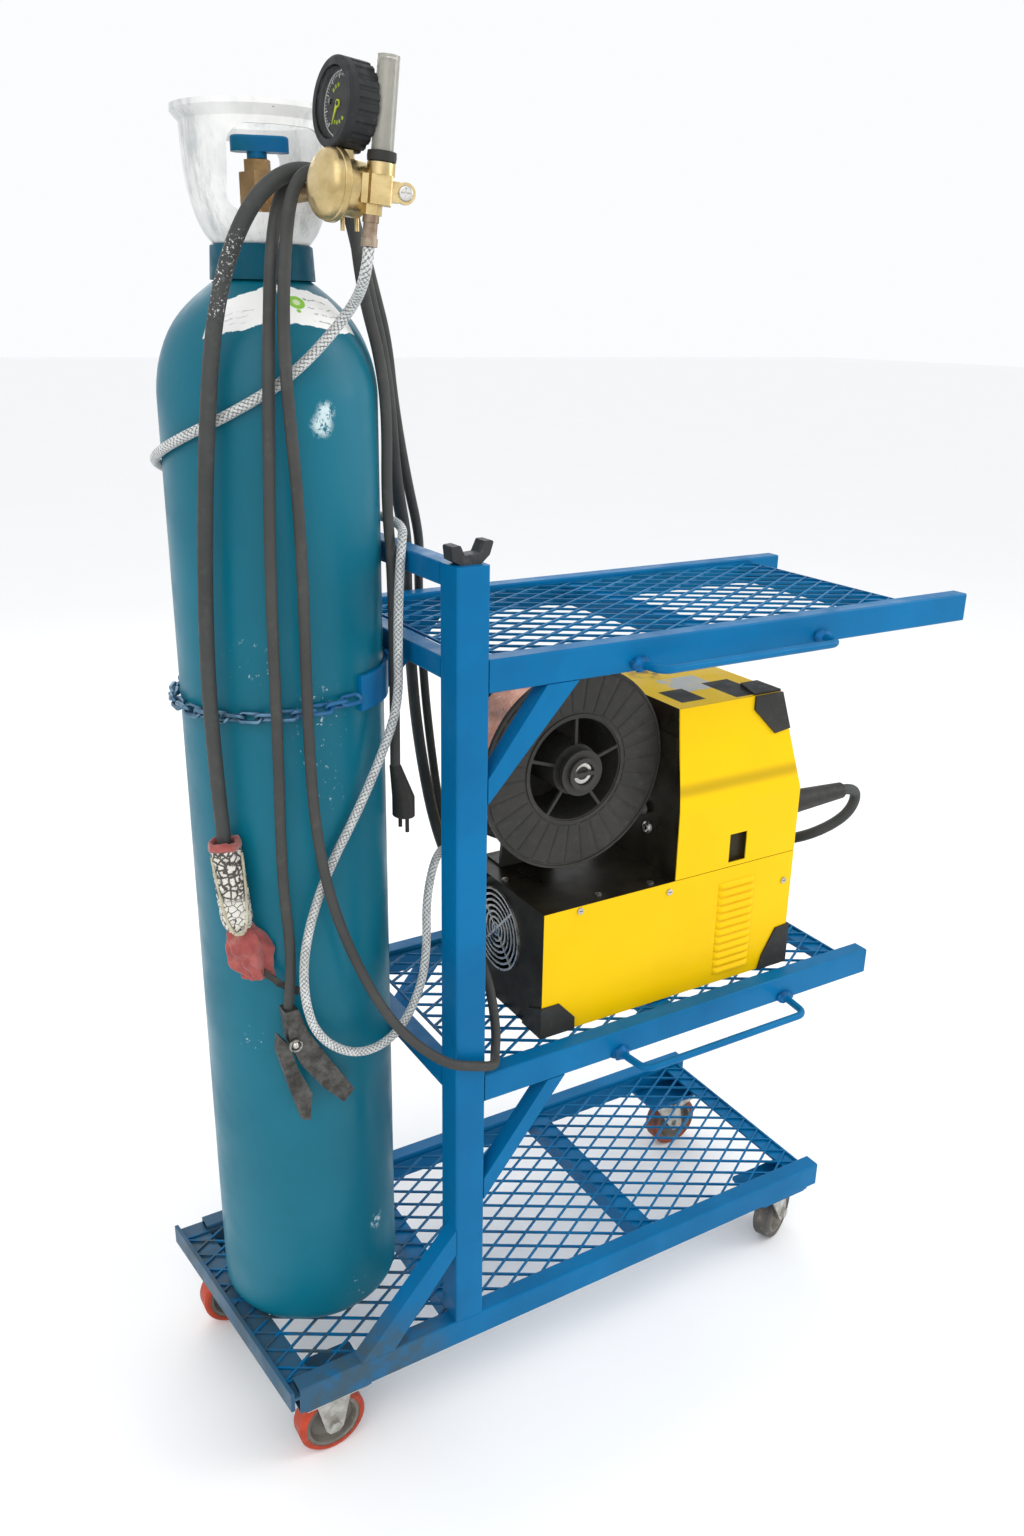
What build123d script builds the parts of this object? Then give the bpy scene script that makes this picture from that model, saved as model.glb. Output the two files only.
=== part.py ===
"""A steel welding cart: a gas cylinder at one end, three mesh shelves and a MIG welder.

Millimetres. +X runs along the cart away from the cylinder, +Y runs away from the side with
the cable rods, +Z is up. The origin is on the floor under the middle of the cart's box.
"""

import os
from math import cos, radians, sin, tan

from build123d import *

# Steel frame
RAIL_W = 25.0  # rail width, and the side of the small square tubes
RAIL_H = 38.0
POST = 40.0
WALL = 2.0
NEAR = -153.5  # outer face of the near rails
FAR = 208.5  # outer face of the far rails
MIDDLE_Y = (NEAR + FAR) / 2
POST_LEFT = -266.0
POST_RIGHT = POST_LEFT + POST
POST_TOP = 1148.0
LOW_TOP = 150.0  # top faces of the rails of each shelf
MID_TOP = 519.0
HIGH_TOP = 1045.0
LOW_LEFT = -484.0
LOW_RIGHT = 380.0
MID_RIGHT = 427.0
HIGH_NEAR_RIGHT = 533.0
HIGH_FAR_RIGHT = 496.0
LIP_NEAR = -496.0  # the left end of the bottom shelf is out of square
LIP_FAR = -533.0
MESH_DROP = 6.0  # the mesh lies this far under the rail tops
MESH_T = 3.0
CELL_X = 54.0
CELL_Y = 32.4
STRAND = 2.8

# Gas cylinder
CYL_X = -386.0
CYL_Y = 48.5
CYL_R = 116.0
CYL_BASE = LOW_TOP - MESH_DROP
DOME_START = 1306.0
DOME_TOP = 1433.0
SHELL = 6.0
NECK_TOP = 1456.0
BAND_Z = 978.0
BAND_H = 40.0
CHAIN_Z = 988.0

# Regulator
STEM_Z = 1498.0
REG_X = -378.0
REG_Y = -144.0
GAUGE_Z = 1563.0
GAUGE_R = 37.0
FLOW_X = -354.0
FLOW_Y = -165.5
FLOW_Z = 1495.0
FLOW_TURN = -23.6
FLOW_LEAN = 5.5

# Casters
WHEEL_R = 45.0
WHEEL_W = 28.0
TREAD = 8.0
AXLE_R = 5.0
CASTER_TOP = LOW_TOP - RAIL_H
LEFT_CASTER_X = -432.0
FAR_LEFT_CASTER = (-470.0, 160.0)  # set further out, along the slanted end
NEAR_CASTER_Y = -113.0
FAR_CASTER_Y = 168.0
RIGHT_PIN_X = 321.0
TRAIL = 24.0
NEAR_SWIVEL = 25.0  # how far the near right fork stands turned

# Welder
W_REAR = -117.0
W_FRONT = 301.0
W_NEAR = -108.5
W_FAR = 91.5
W_BASE = MID_TOP - MESH_DROP
W_DECK = 690.0
W_CREASE = 786.0
W_TOP = 926.0
W_WALL_X = 90.0  # the wall between the spool and the upper housing
W_LEAN = 15.0
W_SLOPE = 38.0
SHEET = 2.0
SPOOL_X = -48.0
SPOOL_Z = 859.0
SPOOL_R = 133.0
SPOOL_NEAR = -63.5
SPOOL_FAR = 36.5
FAN_Y = 6.5
FAN_Z = 620.0
FAN_R = 58.0
TORCH_EXIT_Y = -63.5
TORCH_EXIT_Z = 742.0


def save(shape, name):
    """Label a finished piece and write it as a STEP file."""
    shape.label = name
    export_step(shape, f"parts/{name}.step")


def rail(x_start, x_end, y_middle, z_top):
    """Hollow rectangular tube along X with its right end capped."""
    size = RAIL_W - 2 * WALL
    middle = (y_middle, z_top - RAIL_H / 2)
    with BuildPart() as tube:
        with BuildSketch(Plane.YZ.offset(x_start)):
            with Locations(middle):
                RectangleRounded(RAIL_W, RAIL_H, 2.5)
        extrude(amount=x_end - x_start)
        with BuildSketch(Plane.YZ.offset(x_start)):
            with Locations(middle):
                Rectangle(size, RAIL_H - 2 * WALL)
        extrude(amount=x_end - x_start - WALL, mode=Mode.SUBTRACT)
    return tube.part


def cross_tube(x_left, z_top):
    """Open square tube along Y between the two posts."""
    length = FAR - NEAR - 2 * POST
    middle = (x_left + RAIL_W / 2, z_top - RAIL_W / 2)
    with BuildPart() as tube:
        with BuildSketch(Plane.XZ.offset(-(NEAR + POST))):
            with Locations(middle):
                RectangleRounded(RAIL_W, RAIL_W, 2.5)
                Rectangle(RAIL_W - 2 * WALL, RAIL_W - 2 * WALL, mode=Mode.SUBTRACT)
        extrude(amount=-length)
    return tube.part


def angle_iron(x_outer, z_top, leg, side):
    """Angle along Y between the rails: a flat leg on top and a leg hanging at x_outer."""
    length = FAR - NEAR - 2 * RAIL_W
    thick = 4.0
    with BuildPart() as angle:
        with BuildSketch(Plane.XZ.offset(-(NEAR + RAIL_W))):
            with BuildLine():
                Polyline(
                    (x_outer, z_top),
                    (x_outer + side * leg, z_top),
                    (x_outer + side * leg, z_top - thick),
                    (x_outer + side * thick, z_top - thick),
                    (x_outer + side * thick, z_top - leg),
                    (x_outer, z_top - leg),
                    close=True,
                )
            make_face()
        extrude(amount=-length)
    return angle.part


# ---------------------------------------------------------------- steel frame
os.makedirs("parts", exist_ok=True)

near_rail_y = NEAR + RAIL_W / 2
far_rail_y = FAR - RAIL_W / 2
low_far_left = LIP_FAR + 40
long_rails = [
    rail(LOW_LEFT, LOW_RIGHT, near_rail_y, LOW_TOP),
    rail(low_far_left, LOW_RIGHT, far_rail_y, LOW_TOP),
    rail(POST_RIGHT, MID_RIGHT, near_rail_y, MID_TOP),
    rail(POST_RIGHT, MID_RIGHT, far_rail_y, MID_TOP),
    rail(POST_RIGHT, HIGH_NEAR_RIGHT, near_rail_y, HIGH_TOP),
    rail(POST_RIGHT, HIGH_FAR_RIGHT, far_rail_y, HIGH_TOP),
]
save(Compound(children=long_rails), "long_rails")

post_x = (POST_LEFT + POST_RIGHT) / 2
post_places = [(post_x, NEAR + POST / 2), (post_x, FAR - POST / 2)]
with BuildPart() as posts:
    with BuildSketch(Plane.XY.offset(LOW_TOP)):
        with Locations(*post_places):
            RectangleRounded(POST, POST, 3)
    extrude(amount=POST_TOP - LOW_TOP)
    with BuildSketch(Plane.XY.offset(LOW_TOP)):
        with Locations(*post_places):
            Rectangle(POST - 2 * WALL, POST - 2 * WALL)
    extrude(amount=POST_TOP - LOW_TOP - 3, mode=Mode.SUBTRACT)
save(Compound(children=[*posts.part.solids(), cross_tube(POST_LEFT, POST_TOP)]), "posts")

low_mesh_top = LOW_TOP - MESH_DROP
mid_mesh_top = MID_TOP - MESH_DROP
high_mesh_top = HIGH_TOP - MESH_DROP
inner_near = NEAR + RAIL_W
inner_far = FAR - RAIL_W


def lip_x(y):
    """Outer edge of the bottom shelf's slanted left end."""
    return LIP_NEAR + (LIP_FAR - LIP_NEAR) * (y - NEAR) / (FAR - NEAR)


LIP_LEG = 40.0
LIP_T = 5.0
with BuildPart() as shelf_frames:
    add(cross_tube(POST_LEFT, MID_TOP))
    add(cross_tube(POST_LEFT, HIGH_TOP))
    for x_right, top in (
        (LOW_RIGHT - 14, low_mesh_top),
        (MID_RIGHT - 34, mid_mesh_top),
        (HIGH_FAR_RIGHT - 57, high_mesh_top),
    ):
        add(angle_iron(x_right, top - MESH_T, 28, -1))
    for x_member, top in (
        (-262, low_mesh_top),
        (52, low_mesh_top),
        (62, mid_mesh_top),
        (92, high_mesh_top),
    ):
        add(angle_iron(x_member, top - MESH_T, 28, 1))
    # the slanted end: a flat leg under the mesh, and an upright lip at its outer edge
    with BuildSketch(Plane.XY.offset(low_mesh_top - MESH_T - 4)):
        with BuildLine():
            Polyline(
                (LIP_NEAR, NEAR),
                (LOW_LEFT, NEAR),
                (LOW_LEFT, inner_near),
                (lip_x(inner_near) + LIP_LEG, inner_near),
                (lip_x(inner_far) + LIP_LEG, inner_far),
                (low_far_left, inner_far),
                (low_far_left, FAR),
                (LIP_FAR, FAR),
                close=True,
            )
        make_face()
    extrude(amount=4)
    with BuildSketch(Plane.XY.offset(LOW_TOP - 28)):
        with BuildLine():
            Polyline(
                (LIP_NEAR, NEAR),
                (LIP_NEAR + LIP_T, NEAR),
                (LIP_FAR + LIP_T, FAR),
                (LIP_FAR, FAR),
                close=True,
            )
        make_face()
    extrude(amount=28)
save(shelf_frames.part, "shelf_frames")


def clipped(corners, outline):
    """The part of a convex opening inside a convex, anticlockwise outline."""
    for start, end in zip(outline, outline[1:] + outline[:1]):
        edge = end - start
        kept = []
        for first, second in zip(corners, corners[1:] + corners[:1]):
            side_first = edge.X * (first - start).Y - edge.Y * (first - start).X
            side_second = edge.X * (second - start).Y - edge.Y * (second - start).X
            if side_first >= 0:
                kept.append(first)
            if side_first * side_second < 0:
                kept.append(first + (second - first) * (side_first / (side_first - side_second)))
        corners = kept
    return corners


def expanded_sheet(x_near, x_far, x_right, z_top):
    """Sheet with diamond openings between the rails; its left edge may be slanted."""
    border = 3.0
    z_low = z_top - MESH_T
    outline = [(x_near, inner_near), (x_right, inner_near), (x_right, inner_far), (x_far, inner_far)]
    inside = [
        Vector(x_near + border, inner_near + border),
        Vector(x_right - border, inner_near + border),
        Vector(x_right - border, inner_far - border),
        Vector(x_far + border, inner_far - border),
    ]
    half_x = CELL_X / 2 - STRAND
    half_y = CELL_Y / 2 - STRAND * CELL_Y / CELL_X
    left = min(x_near, x_far)
    openings = []
    for row in range(int((inner_far - inner_near) / CELL_Y * 2) + 2):
        y = inner_near + row * CELL_Y / 2
        for column in range(int((x_right - left) / CELL_X) + 2):
            x = left + (column + row % 2 / 2) * CELL_X
            steps = ((half_x, 0), (0, half_y), (-half_x, 0), (0, -half_y))
            diamond = [Vector(x + along, y + across) for along, across in steps]
            corners = clipped(diamond, inside)
            if len(corners) > 2 and Face(Wire.make_polygon(corners)).area > 40:
                openings.append(Wire.make_polygon(corners).moved(Location((0, 0, z_low))))
    edge = Wire.make_polygon([(x, y, z_low) for x, y in outline])
    with BuildPart() as sheet:
        add(Face(edge, openings))
        extrude(amount=MESH_T, dir=(0, 0, 1))
    return sheet.part


low_near_left = lip_x(inner_near) + LIP_T
low_far_left_mesh = lip_x(inner_far) + LIP_T
sheets = [
    expanded_sheet(low_near_left, low_far_left_mesh, LOW_RIGHT - 14, low_mesh_top),
    expanded_sheet(POST_RIGHT, POST_RIGHT, MID_RIGHT - 34, mid_mesh_top),
    expanded_sheet(POST_RIGHT, POST_RIGHT, HIGH_FAR_RIGHT - 57, high_mesh_top),
]
save(Compound(children=sheets), "shelf_meshes")


def brace(corners, y_low):
    """Hollow diagonal strut. Its corners go round it: two on one member, two on the other."""
    wide = 22.0
    first, second, third, fourth = [Vector(x, z) for x, z in corners]
    part = WALL * 1.6 / (second - first).length
    end = WALL * 1.6 / (fourth - third).length
    inner = [
        first + (second - first) * part,
        second + (first - second) * part,
        third + (fourth - third) * end,
        fourth + (third - fourth) * end,
    ]
    with BuildPart() as strut:
        with BuildSketch(Plane.XZ.offset(-y_low)):
            Polygon(*corners, align=None)
        extrude(amount=-wide)
        with BuildSketch(Plane.XZ.offset(-y_low - WALL)):
            Polygon(*[(p.X, p.Y) for p in inner], align=None)
        extrude(amount=-(wide - 2 * WALL), mode=Mode.SUBTRACT)
    return strut.part


high_under = HIGH_TOP - RAIL_H
mid_under = MID_TOP - RAIL_H
brace_corners = [
    [(-151, high_under), (-108, high_under), (POST_RIGHT, 877), (POST_RIGHT, 907)],
    [(-134, mid_under), (-108, mid_under), (POST_RIGHT, 333), (POST_RIGHT, 365)],
    [(-401, LOW_TOP), (-355, LOW_TOP), (POST_LEFT, 262), (POST_LEFT, 300)],
]
struts = [brace(corners, y_low) for corners in brace_corners for y_low in (NEAR, FAR - 22)]
save(Compound(children=struts), "braces")


def cable_rod(x_start, x_end, reach, z):
    """Round rod bent into a wide U and welded to the near rail."""
    y_bar = NEAR - reach
    with BuildPart() as rod:
        with BuildLine() as path:
            FilletPolyline(
                (x_start, NEAR, z),
                (x_start + 6, y_bar, z),
                (x_end - 6, y_bar, z),
                (x_end, NEAR, z),
                radius=16,
            )
        with BuildSketch(Plane(origin=path.line @ 0, z_dir=path.line % 0)):
            Circle(5)
        sweep()
    return rod.part


with BuildPart() as cable_rods:
    add(cable_rod(-22, 266, 50, 487))
    add(cable_rod(-25, 263, 38, 1016))
save(cable_rods.part, "cable_rods")

with BuildPart() as torch_cradle:
    with BuildSketch(Plane.XZ.offset(144)):
        with BuildLine():
            cradle = Polyline(
                (-256, POST_TOP),
                (-232, POST_TOP),
                (-222, POST_TOP + 9),
                (-217, POST_TOP + 24),
                (-228, POST_TOP + 24),
                (-234, POST_TOP + 11),
                (-252, POST_TOP + 10),
                (-257, POST_TOP + 21),
                (-268, POST_TOP + 20),
                (-266, POST_TOP + 5),
                close=True,
            )
        make_face()
        fillet(cradle.vertices(), 2.4)
    extrude(amount=-20)
save(torch_cradle.part, "torch_cradle")

# ------------------------------------------------------- cylinder band and chain
band_start = -66.0
band_sweep = 132.0
with BuildPart() as cylinder_band:
    with BuildSketch(Plane.XY.offset(BAND_Z)):
        with BuildLine():
            outer = CenterArc((CYL_X, CYL_Y), CYL_R + 5.3, band_start, band_sweep)
            inner = CenterArc((CYL_X, CYL_Y), CYL_R + 0.3, band_start, band_sweep)
            Line(outer @ 0, inner @ 0)
            Line(outer @ 1, inner @ 1)
        make_face()
    extrude(amount=BAND_H)
    with BuildSketch(Plane.XY.offset(high_under + 13 - 18)):
        with Locations((POST_LEFT + 10, CYL_Y)):
            Rectangle(20, 40)
        with Locations((CYL_X, CYL_Y)):
            Circle(CYL_R + 3, mode=Mode.SUBTRACT)
    extrude(amount=18)
save(cylinder_band.part, "cylinder_band")

LINK_WIRE = 4.6
LINK_HALF = 5.2  # half the width between the wire's centres less the straight part
LINK_STRAIGHT = 15.0
LINK_PITCH = 19.0
CHAIN_R = CYL_R + 7.2
link_count = 25
link_step = LINK_PITCH / CHAIN_R * 180 / 3.14159
chain_start = band_start - 4


def chain_link(bearing, tilt, drop):
    """One oblong link, tangent to the cylinder at this bearing and tilted about the chain."""
    angle = radians(bearing)
    tangent = Vector(sin(angle), -cos(angle), 0)
    outward = Vector(cos(angle), sin(angle), 0)
    place = Vector(CYL_X, CYL_Y, CHAIN_Z - drop) + outward * CHAIN_R
    across = outward * sin(radians(tilt)) + Vector(0, 0, cos(radians(tilt)))
    plane = Plane(origin=place, x_dir=tangent, z_dir=tangent.cross(across))
    with BuildPart() as link:
        with BuildLine(plane) as path:
            half = LINK_STRAIGHT / 2
            Line((-half, LINK_HALF), (half, LINK_HALF))
            CenterArc((half, 0), LINK_HALF, 90, -180)
            Line((half, -LINK_HALF), (-half, -LINK_HALF))
            CenterArc((-half, 0), LINK_HALF, -90, -180)
        with BuildSketch(Plane(origin=path.line @ 0, z_dir=path.line % 0)):
            Circle(LINK_WIRE / 2)
        sweep()
    return link.part


links = []
for i in range(link_count):
    bearing = chain_start - (i + 0.5) * link_step
    sag = 14 * (1 - (2 * i / (link_count - 1) - 1) ** 2) - 8
    links.append(chain_link(bearing, 45 if i % 2 else -45, sag))
save(Compound(children=links), "cylinder_chain")

# ------------------------------------------------------------------- gas cylinder
dome_height = DOME_TOP - DOME_START


def dome_points(radius, height):
    """Points up the cylinder's domed shoulder, from its side to the neck."""
    bearings = [radians(step) for step in (0, 20, 40, 60, 83)]
    return [(radius * cos(b), DOME_START + height * sin(b)) for b in bearings]


with BuildPart() as gas_cylinder:
    with BuildSketch(Plane(origin=(CYL_X, CYL_Y, 0), x_dir=(1, 0, 0), z_dir=(0, -1, 0))):
        with BuildLine():
            foot = Line((0, CYL_BASE), (CYL_R - 22, CYL_BASE))
            toe = RadiusArc(foot @ 1, (CYL_R, CYL_BASE + 22), -22)
            side = Line(toe @ 1, (CYL_R, DOME_START))
            dome = Spline(*dome_points(CYL_R, dome_height), tangents=[(0, 1), (-1, 0.13)])
            inner_dome = Spline(
                *dome_points(CYL_R - SHELL, dome_height - SHELL), tangents=[(0, 1), (-1, 0.13)]
            )
            neck_top = Line(dome @ 1, (12.5, (dome @ 1).Y))
            bore = Line(neck_top @ 1, (12.5, (inner_dome @ 1).Y))
            Line(bore @ 1, inner_dome @ 1)
            inner_side = Line((CYL_R - SHELL, DOME_START), (CYL_R - SHELL, CYL_BASE + 30))
            inner_toe = RadiusArc(inner_side @ 1, (CYL_R - SHELL - 20, CYL_BASE + 10), 20)
            Line(inner_toe @ 1, (0, CYL_BASE + 10))
            Line((0, CYL_BASE + 10), (0, CYL_BASE))
        make_face()
    revolve(axis=Axis((CYL_X, CYL_Y, 0), (0, 0, 1)))
save(gas_cylinder.part, "gas_cylinder")


def turned(profile, bore=0.0):
    """Solid of revolution about the cylinder's axis from (radius, height) corners."""
    plane = Plane(origin=(CYL_X, CYL_Y, 0), x_dir=(1, 0, 0), z_dir=(0, -1, 0))
    with BuildPart() as solid:
        with BuildSketch(plane):
            Polygon(*profile, align=None)
        revolve(axis=Axis((CYL_X, CYL_Y, 0), (0, 0, 1)))
    return solid.part


ring_low = DOME_START + dome_height * (1 - (52.0 / CYL_R) ** 2) ** 0.5
with BuildPart() as neck_ring:
    add(turned([(17, DOME_TOP + 1), (46, DOME_TOP + 1), (54, ring_low + 3), (52, NECK_TOP), (17, NECK_TOP)]))
    chamfer(neck_ring.edges().filter_by(GeomType.CIRCLE).group_by(Axis.Z)[-1].sort_by(SortBy.LENGTH)[-1], 1.5)
save(neck_ring.part, "neck_ring")

GUARD_T = 3.0
guard_outer = [(48, NECK_TOP), (57, 1467), (67, 1492), (72, 1514), (74.5, 1541), (75, 1566)]
guard_plane = Plane(origin=(CYL_X, CYL_Y, 0), x_dir=(1, 0, 0), z_dir=(0, -1, 0))
with BuildPart() as valve_guard:
    with BuildSketch(guard_plane):
        with BuildLine():
            wall = Spline(*guard_outer)
            flare = Line(wall @ 1, (83, 1575))
            lip = Line(flare @ 1, (83, 1580))
            lip_top = Line(lip @ 1, (79, 1580))
            neck = Line(lip_top @ 1, (75 - GUARD_T, 1571))
            back = Spline(neck @ 1, (74.5 - GUARD_T, 1541), (72 - GUARD_T, 1514), (67 - GUARD_T, 1492),
                          (57 - GUARD_T, 1469), (48, NECK_TOP + GUARD_T))
            floor_top = Line(back @ 1, (19, NECK_TOP + GUARD_T))
            hole = Line(floor_top @ 1, (19, NECK_TOP))
            Line(hole @ 1, wall @ 0)
        make_face()
    revolve(axis=Axis((CYL_X, CYL_Y, 0), (0, 0, 1)))
    with BuildSketch(Plane.XZ.offset(-CYL_Y)):
        with Locations((CYL_X - 2, 1521)):
            RectangleRounded(96, 76, 18)
    extrude(amount=120, both=True, mode=Mode.SUBTRACT)
save(valve_guard.part, "valve_guard")

valve_plane = Plane(origin=(CYL_X, CYL_Y, 0)).rotated((0, 0, 14))
with BuildPart() as valve_body:
    with BuildSketch(Plane.XY.offset(1428)):
        with Locations((CYL_X, CYL_Y)):
            Circle(12)
    extrude(amount=34)
    with BuildSketch(valve_plane.offset(1462)):
        Rectangle(27, 27)
    extrude(amount=62)
    with BuildSketch(Plane.XY.offset(1524)):
        with Locations((CYL_X, CYL_Y)):
            RegularPolygon(14, 6)
    extrude(amount=11)
    with BuildSketch(Plane(origin=(CYL_X, CYL_Y, 1482), z_dir=(-0.35, -0.94, 0))):
        Circle(11)
    extrude(amount=25)
    with BuildSketch(Plane(origin=(CYL_X, CYL_Y, STEM_Z), z_dir=(0, -1, 0))):
        Circle(12)
    extrude(amount=32)
    with BuildSketch(Plane.XY.offset(1535)):
        with Locations((CYL_X, CYL_Y)):
            Circle(4)
    extrude(amount=10)
save(valve_body.part, "valve_body")

with BuildPart() as valve_handle:
    with BuildSketch(Plane.XY.offset(1536)):
        with Locations((CYL_X, CYL_Y)):
            Circle(10)
            Circle(4.05, mode=Mode.SUBTRACT)
    extrude(amount=6)
    with BuildSketch(Plane(origin=(CYL_X, CYL_Y, 1542)).rotated((0, 0, -20))):
        with Locations((3, 0)):
            SlotOverall(58, 20)
        Circle(4.05, mode=Mode.SUBTRACT)
    extrude(amount=15)
    fillet(valve_handle.faces().sort_by(Axis.Z)[-1].outer_wire().edges(), 2.5)
save(valve_handle.part, "valve_handle")

# ---------------------------------------------------------------------- regulator
facing = Vector(-cos(radians(4.9)) * cos(radians(5.4)), -sin(radians(4.9)), sin(radians(5.4))).normalized()
body_centre = Vector(REG_X, REG_Y, STEM_Z)
stem_start = Vector(CYL_X, CYL_Y - 32, STEM_Z)
stem_way = (body_centre - stem_start).normalized()
stem_plane = Plane(origin=stem_start, z_dir=stem_way)
stem_length = (body_centre - stem_start).length - 23
with BuildPart() as inlet_stem:
    with BuildSketch(stem_plane):
        Circle(8)
    extrude(amount=stem_length)
    with BuildSketch(stem_plane.offset(2)):
        RegularPolygon(16, 6)
    extrude(amount=18)
    with BuildSketch(stem_plane.offset(20)):
        Circle(11)
    extrude(amount=6)
save(inlet_stem.part, "inlet_stem")

body_plane = Plane(origin=body_centre, x_dir=(0, -1, 0), z_dir=facing)
bonnet_base = body_plane.offset(13).origin
bonnet_plane = Plane(origin=bonnet_base, x_dir=body_plane.x_dir, z_dir=body_plane.y_dir * -1)
with BuildPart() as regulator_body:
    with BuildSketch(body_plane.offset(-16)):
        Circle(24)
    extrude(amount=22)
    with BuildSketch(body_plane.offset(6)):
        Circle(31)
    extrude(amount=7)
    fillet(regulator_body.edges().filter_by(GeomType.CIRCLE).group_by(SortBy.LENGTH)[-1], 1.5)
    with BuildSketch(bonnet_plane):
        with BuildLine():
            Spline((30, 0), (27, 8), (16, 14), (0, 16), tangents=[(0, 1), (-1, 0)])
            Line((0, 16), (0, 0))
            Line((0, 0), (30, 0))
        make_face()
    revolve(axis=Axis(bonnet_base, facing))
    with BuildSketch(Plane(origin=body_centre, z_dir=(0.06, 0, 1))):
        RegularPolygon(11, 6)
    extrude(amount=GAUGE_Z - STEM_Z - GAUGE_R + 1)
    with BuildSketch(Plane(origin=body_centre + Vector(8, 2, 0), z_dir=(0, 0, -1))):
        with Locations((-6, 0), (8, 0)):
            Circle(2)
    extrude(amount=36)
save(regulator_body.part, "regulator_body")

gauge_centre = body_centre + Vector(5, 1, GAUGE_Z - STEM_Z)
gauge_plane = Plane(origin=gauge_centre, x_dir=(0, -1, 0), z_dir=facing)
with BuildPart() as pressure_gauge:
    with BuildSketch(gauge_plane.offset(-14)):
        Circle(GAUGE_R)
        with PolarLocations(GAUGE_R + 1.2, 24):
            Circle(2.6, mode=Mode.SUBTRACT)
    extrude(amount=20)
    with BuildSketch(gauge_plane.offset(6)):
        Circle(GAUGE_R)
    extrude(amount=8)
    fillet(pressure_gauge.faces().sort_by(Axis(gauge_centre, facing))[-1].edges(), 3)
    with BuildSketch(gauge_plane.offset(14)):
        Circle(29)
    extrude(amount=-8, mode=Mode.SUBTRACT)
    with BuildSketch(gauge_plane.offset(6)):
        Circle(2)
    extrude(amount=2)
save(pressure_gauge.part, "pressure_gauge")

with BuildPart() as gauge_needle:
    with BuildSketch(gauge_plane.offset(6.6)) as needle:
        with BuildLine():
            Polyline((-9, -16), (-2.2, 2.6), (2.2, 2.6), close=True)
        make_face()
        Circle(3.4)
        Circle(2.05, mode=Mode.SUBTRACT)
    extrude(amount=1)
save(gauge_needle.part, "gauge_needle")

flow_up = Vector(sin(radians(FLOW_LEAN)) * cos(radians(FLOW_TURN)),
                 sin(radians(FLOW_LEAN)) * sin(radians(FLOW_TURN)), cos(radians(FLOW_LEAN)))
flow_across = Vector(cos(radians(FLOW_TURN)) * cos(radians(FLOW_LEAN)),
                     sin(radians(FLOW_TURN)) * cos(radians(FLOW_LEAN)), -sin(radians(FLOW_LEAN)))
flow_plane = Plane(origin=(FLOW_X, FLOW_Y, FLOW_Z), x_dir=flow_across, z_dir=flow_up)
flow_front = Plane(origin=flow_plane.origin, x_dir=flow_across, z_dir=flow_up.cross(flow_across) * -1)
flow_side = Plane(origin=flow_plane.origin, x_dir=flow_front.z_dir, z_dir=flow_across)
TUBE_R = 10.0
TUBE_LENGTH = 92.0
with BuildPart() as flow_block:
    with BuildSketch(flow_plane.offset(-12)):
        with Locations((3, 0)):
            Rectangle(20, 22)
        with Locations((-11, 0)):
            Rectangle(8, 17)
    extrude(amount=24)
    chamfer(flow_block.edges().filter_by(Axis((0, 0, 0), flow_up)), 1.2)
    with BuildSketch(flow_plane.offset(12)):
        with Locations((2, 0)):
            Circle(12.5)
            Circle(TUBE_R - 4, mode=Mode.SUBTRACT)
    extrude(amount=10)
    with BuildSketch(flow_plane.offset(14)):
        with Locations((2, 0)):
            Circle(TUBE_R + 0.02)
    extrude(amount=8, mode=Mode.SUBTRACT)
    with BuildSketch(flow_plane.offset(-12)):
        with Locations((-4, 0)):
            RegularPolygon(9.5, 6)
    extrude(amount=-9)
    with BuildSketch(flow_side.offset(12)):
        with Locations((0, 0)):
            Rectangle(10, 17)
    extrude(amount=8)
    with BuildSketch(flow_front.offset(-5)):
        with Locations((25, 0)):
            Circle(9)
    extrude(amount=10)
    arm = Vector(*flow_plane.origin) - body_centre
    with BuildSketch(Plane(origin=body_centre, z_dir=arm)):
        Circle(8)
    extrude(amount=arm.length - 8)
    add(Solid.make_cylinder(24.02, 60, body_plane.offset(-30)), mode=Mode.SUBTRACT)
    add(Solid.make_cylinder(31.02, 30, body_plane.offset(6)), mode=Mode.SUBTRACT)
    with BuildSketch(flow_front.offset(5)):
        with Locations((25, 0)):
            Circle(2.5)
    extrude(amount=-4, mode=Mode.SUBTRACT)
save(flow_block.part, "flow_block")

with BuildPart() as flow_tube:
    with BuildSketch(flow_plane.offset(14)):
        with Locations((2, 0)):
            Circle(TUBE_R)
            Circle(TUBE_R - 2, mode=Mode.SUBTRACT)
    extrude(amount=TUBE_LENGTH)
    with BuildSketch(flow_plane.offset(14 + TUBE_LENGTH - 3)):
        with Locations((2, 0)):
            Circle(TUBE_R - 1.9)
    extrude(amount=3)
save(flow_tube.part, "flow_tube")

with BuildPart() as flow_float:
    with BuildSketch(flow_plane.offset(16)):
        with Locations((2, 0)):
            Circle(6)
    extrude(amount=9)
    fillet(flow_float.edges().filter_by(GeomType.CIRCLE), 3)
save(flow_float.part, "flow_float")

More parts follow.
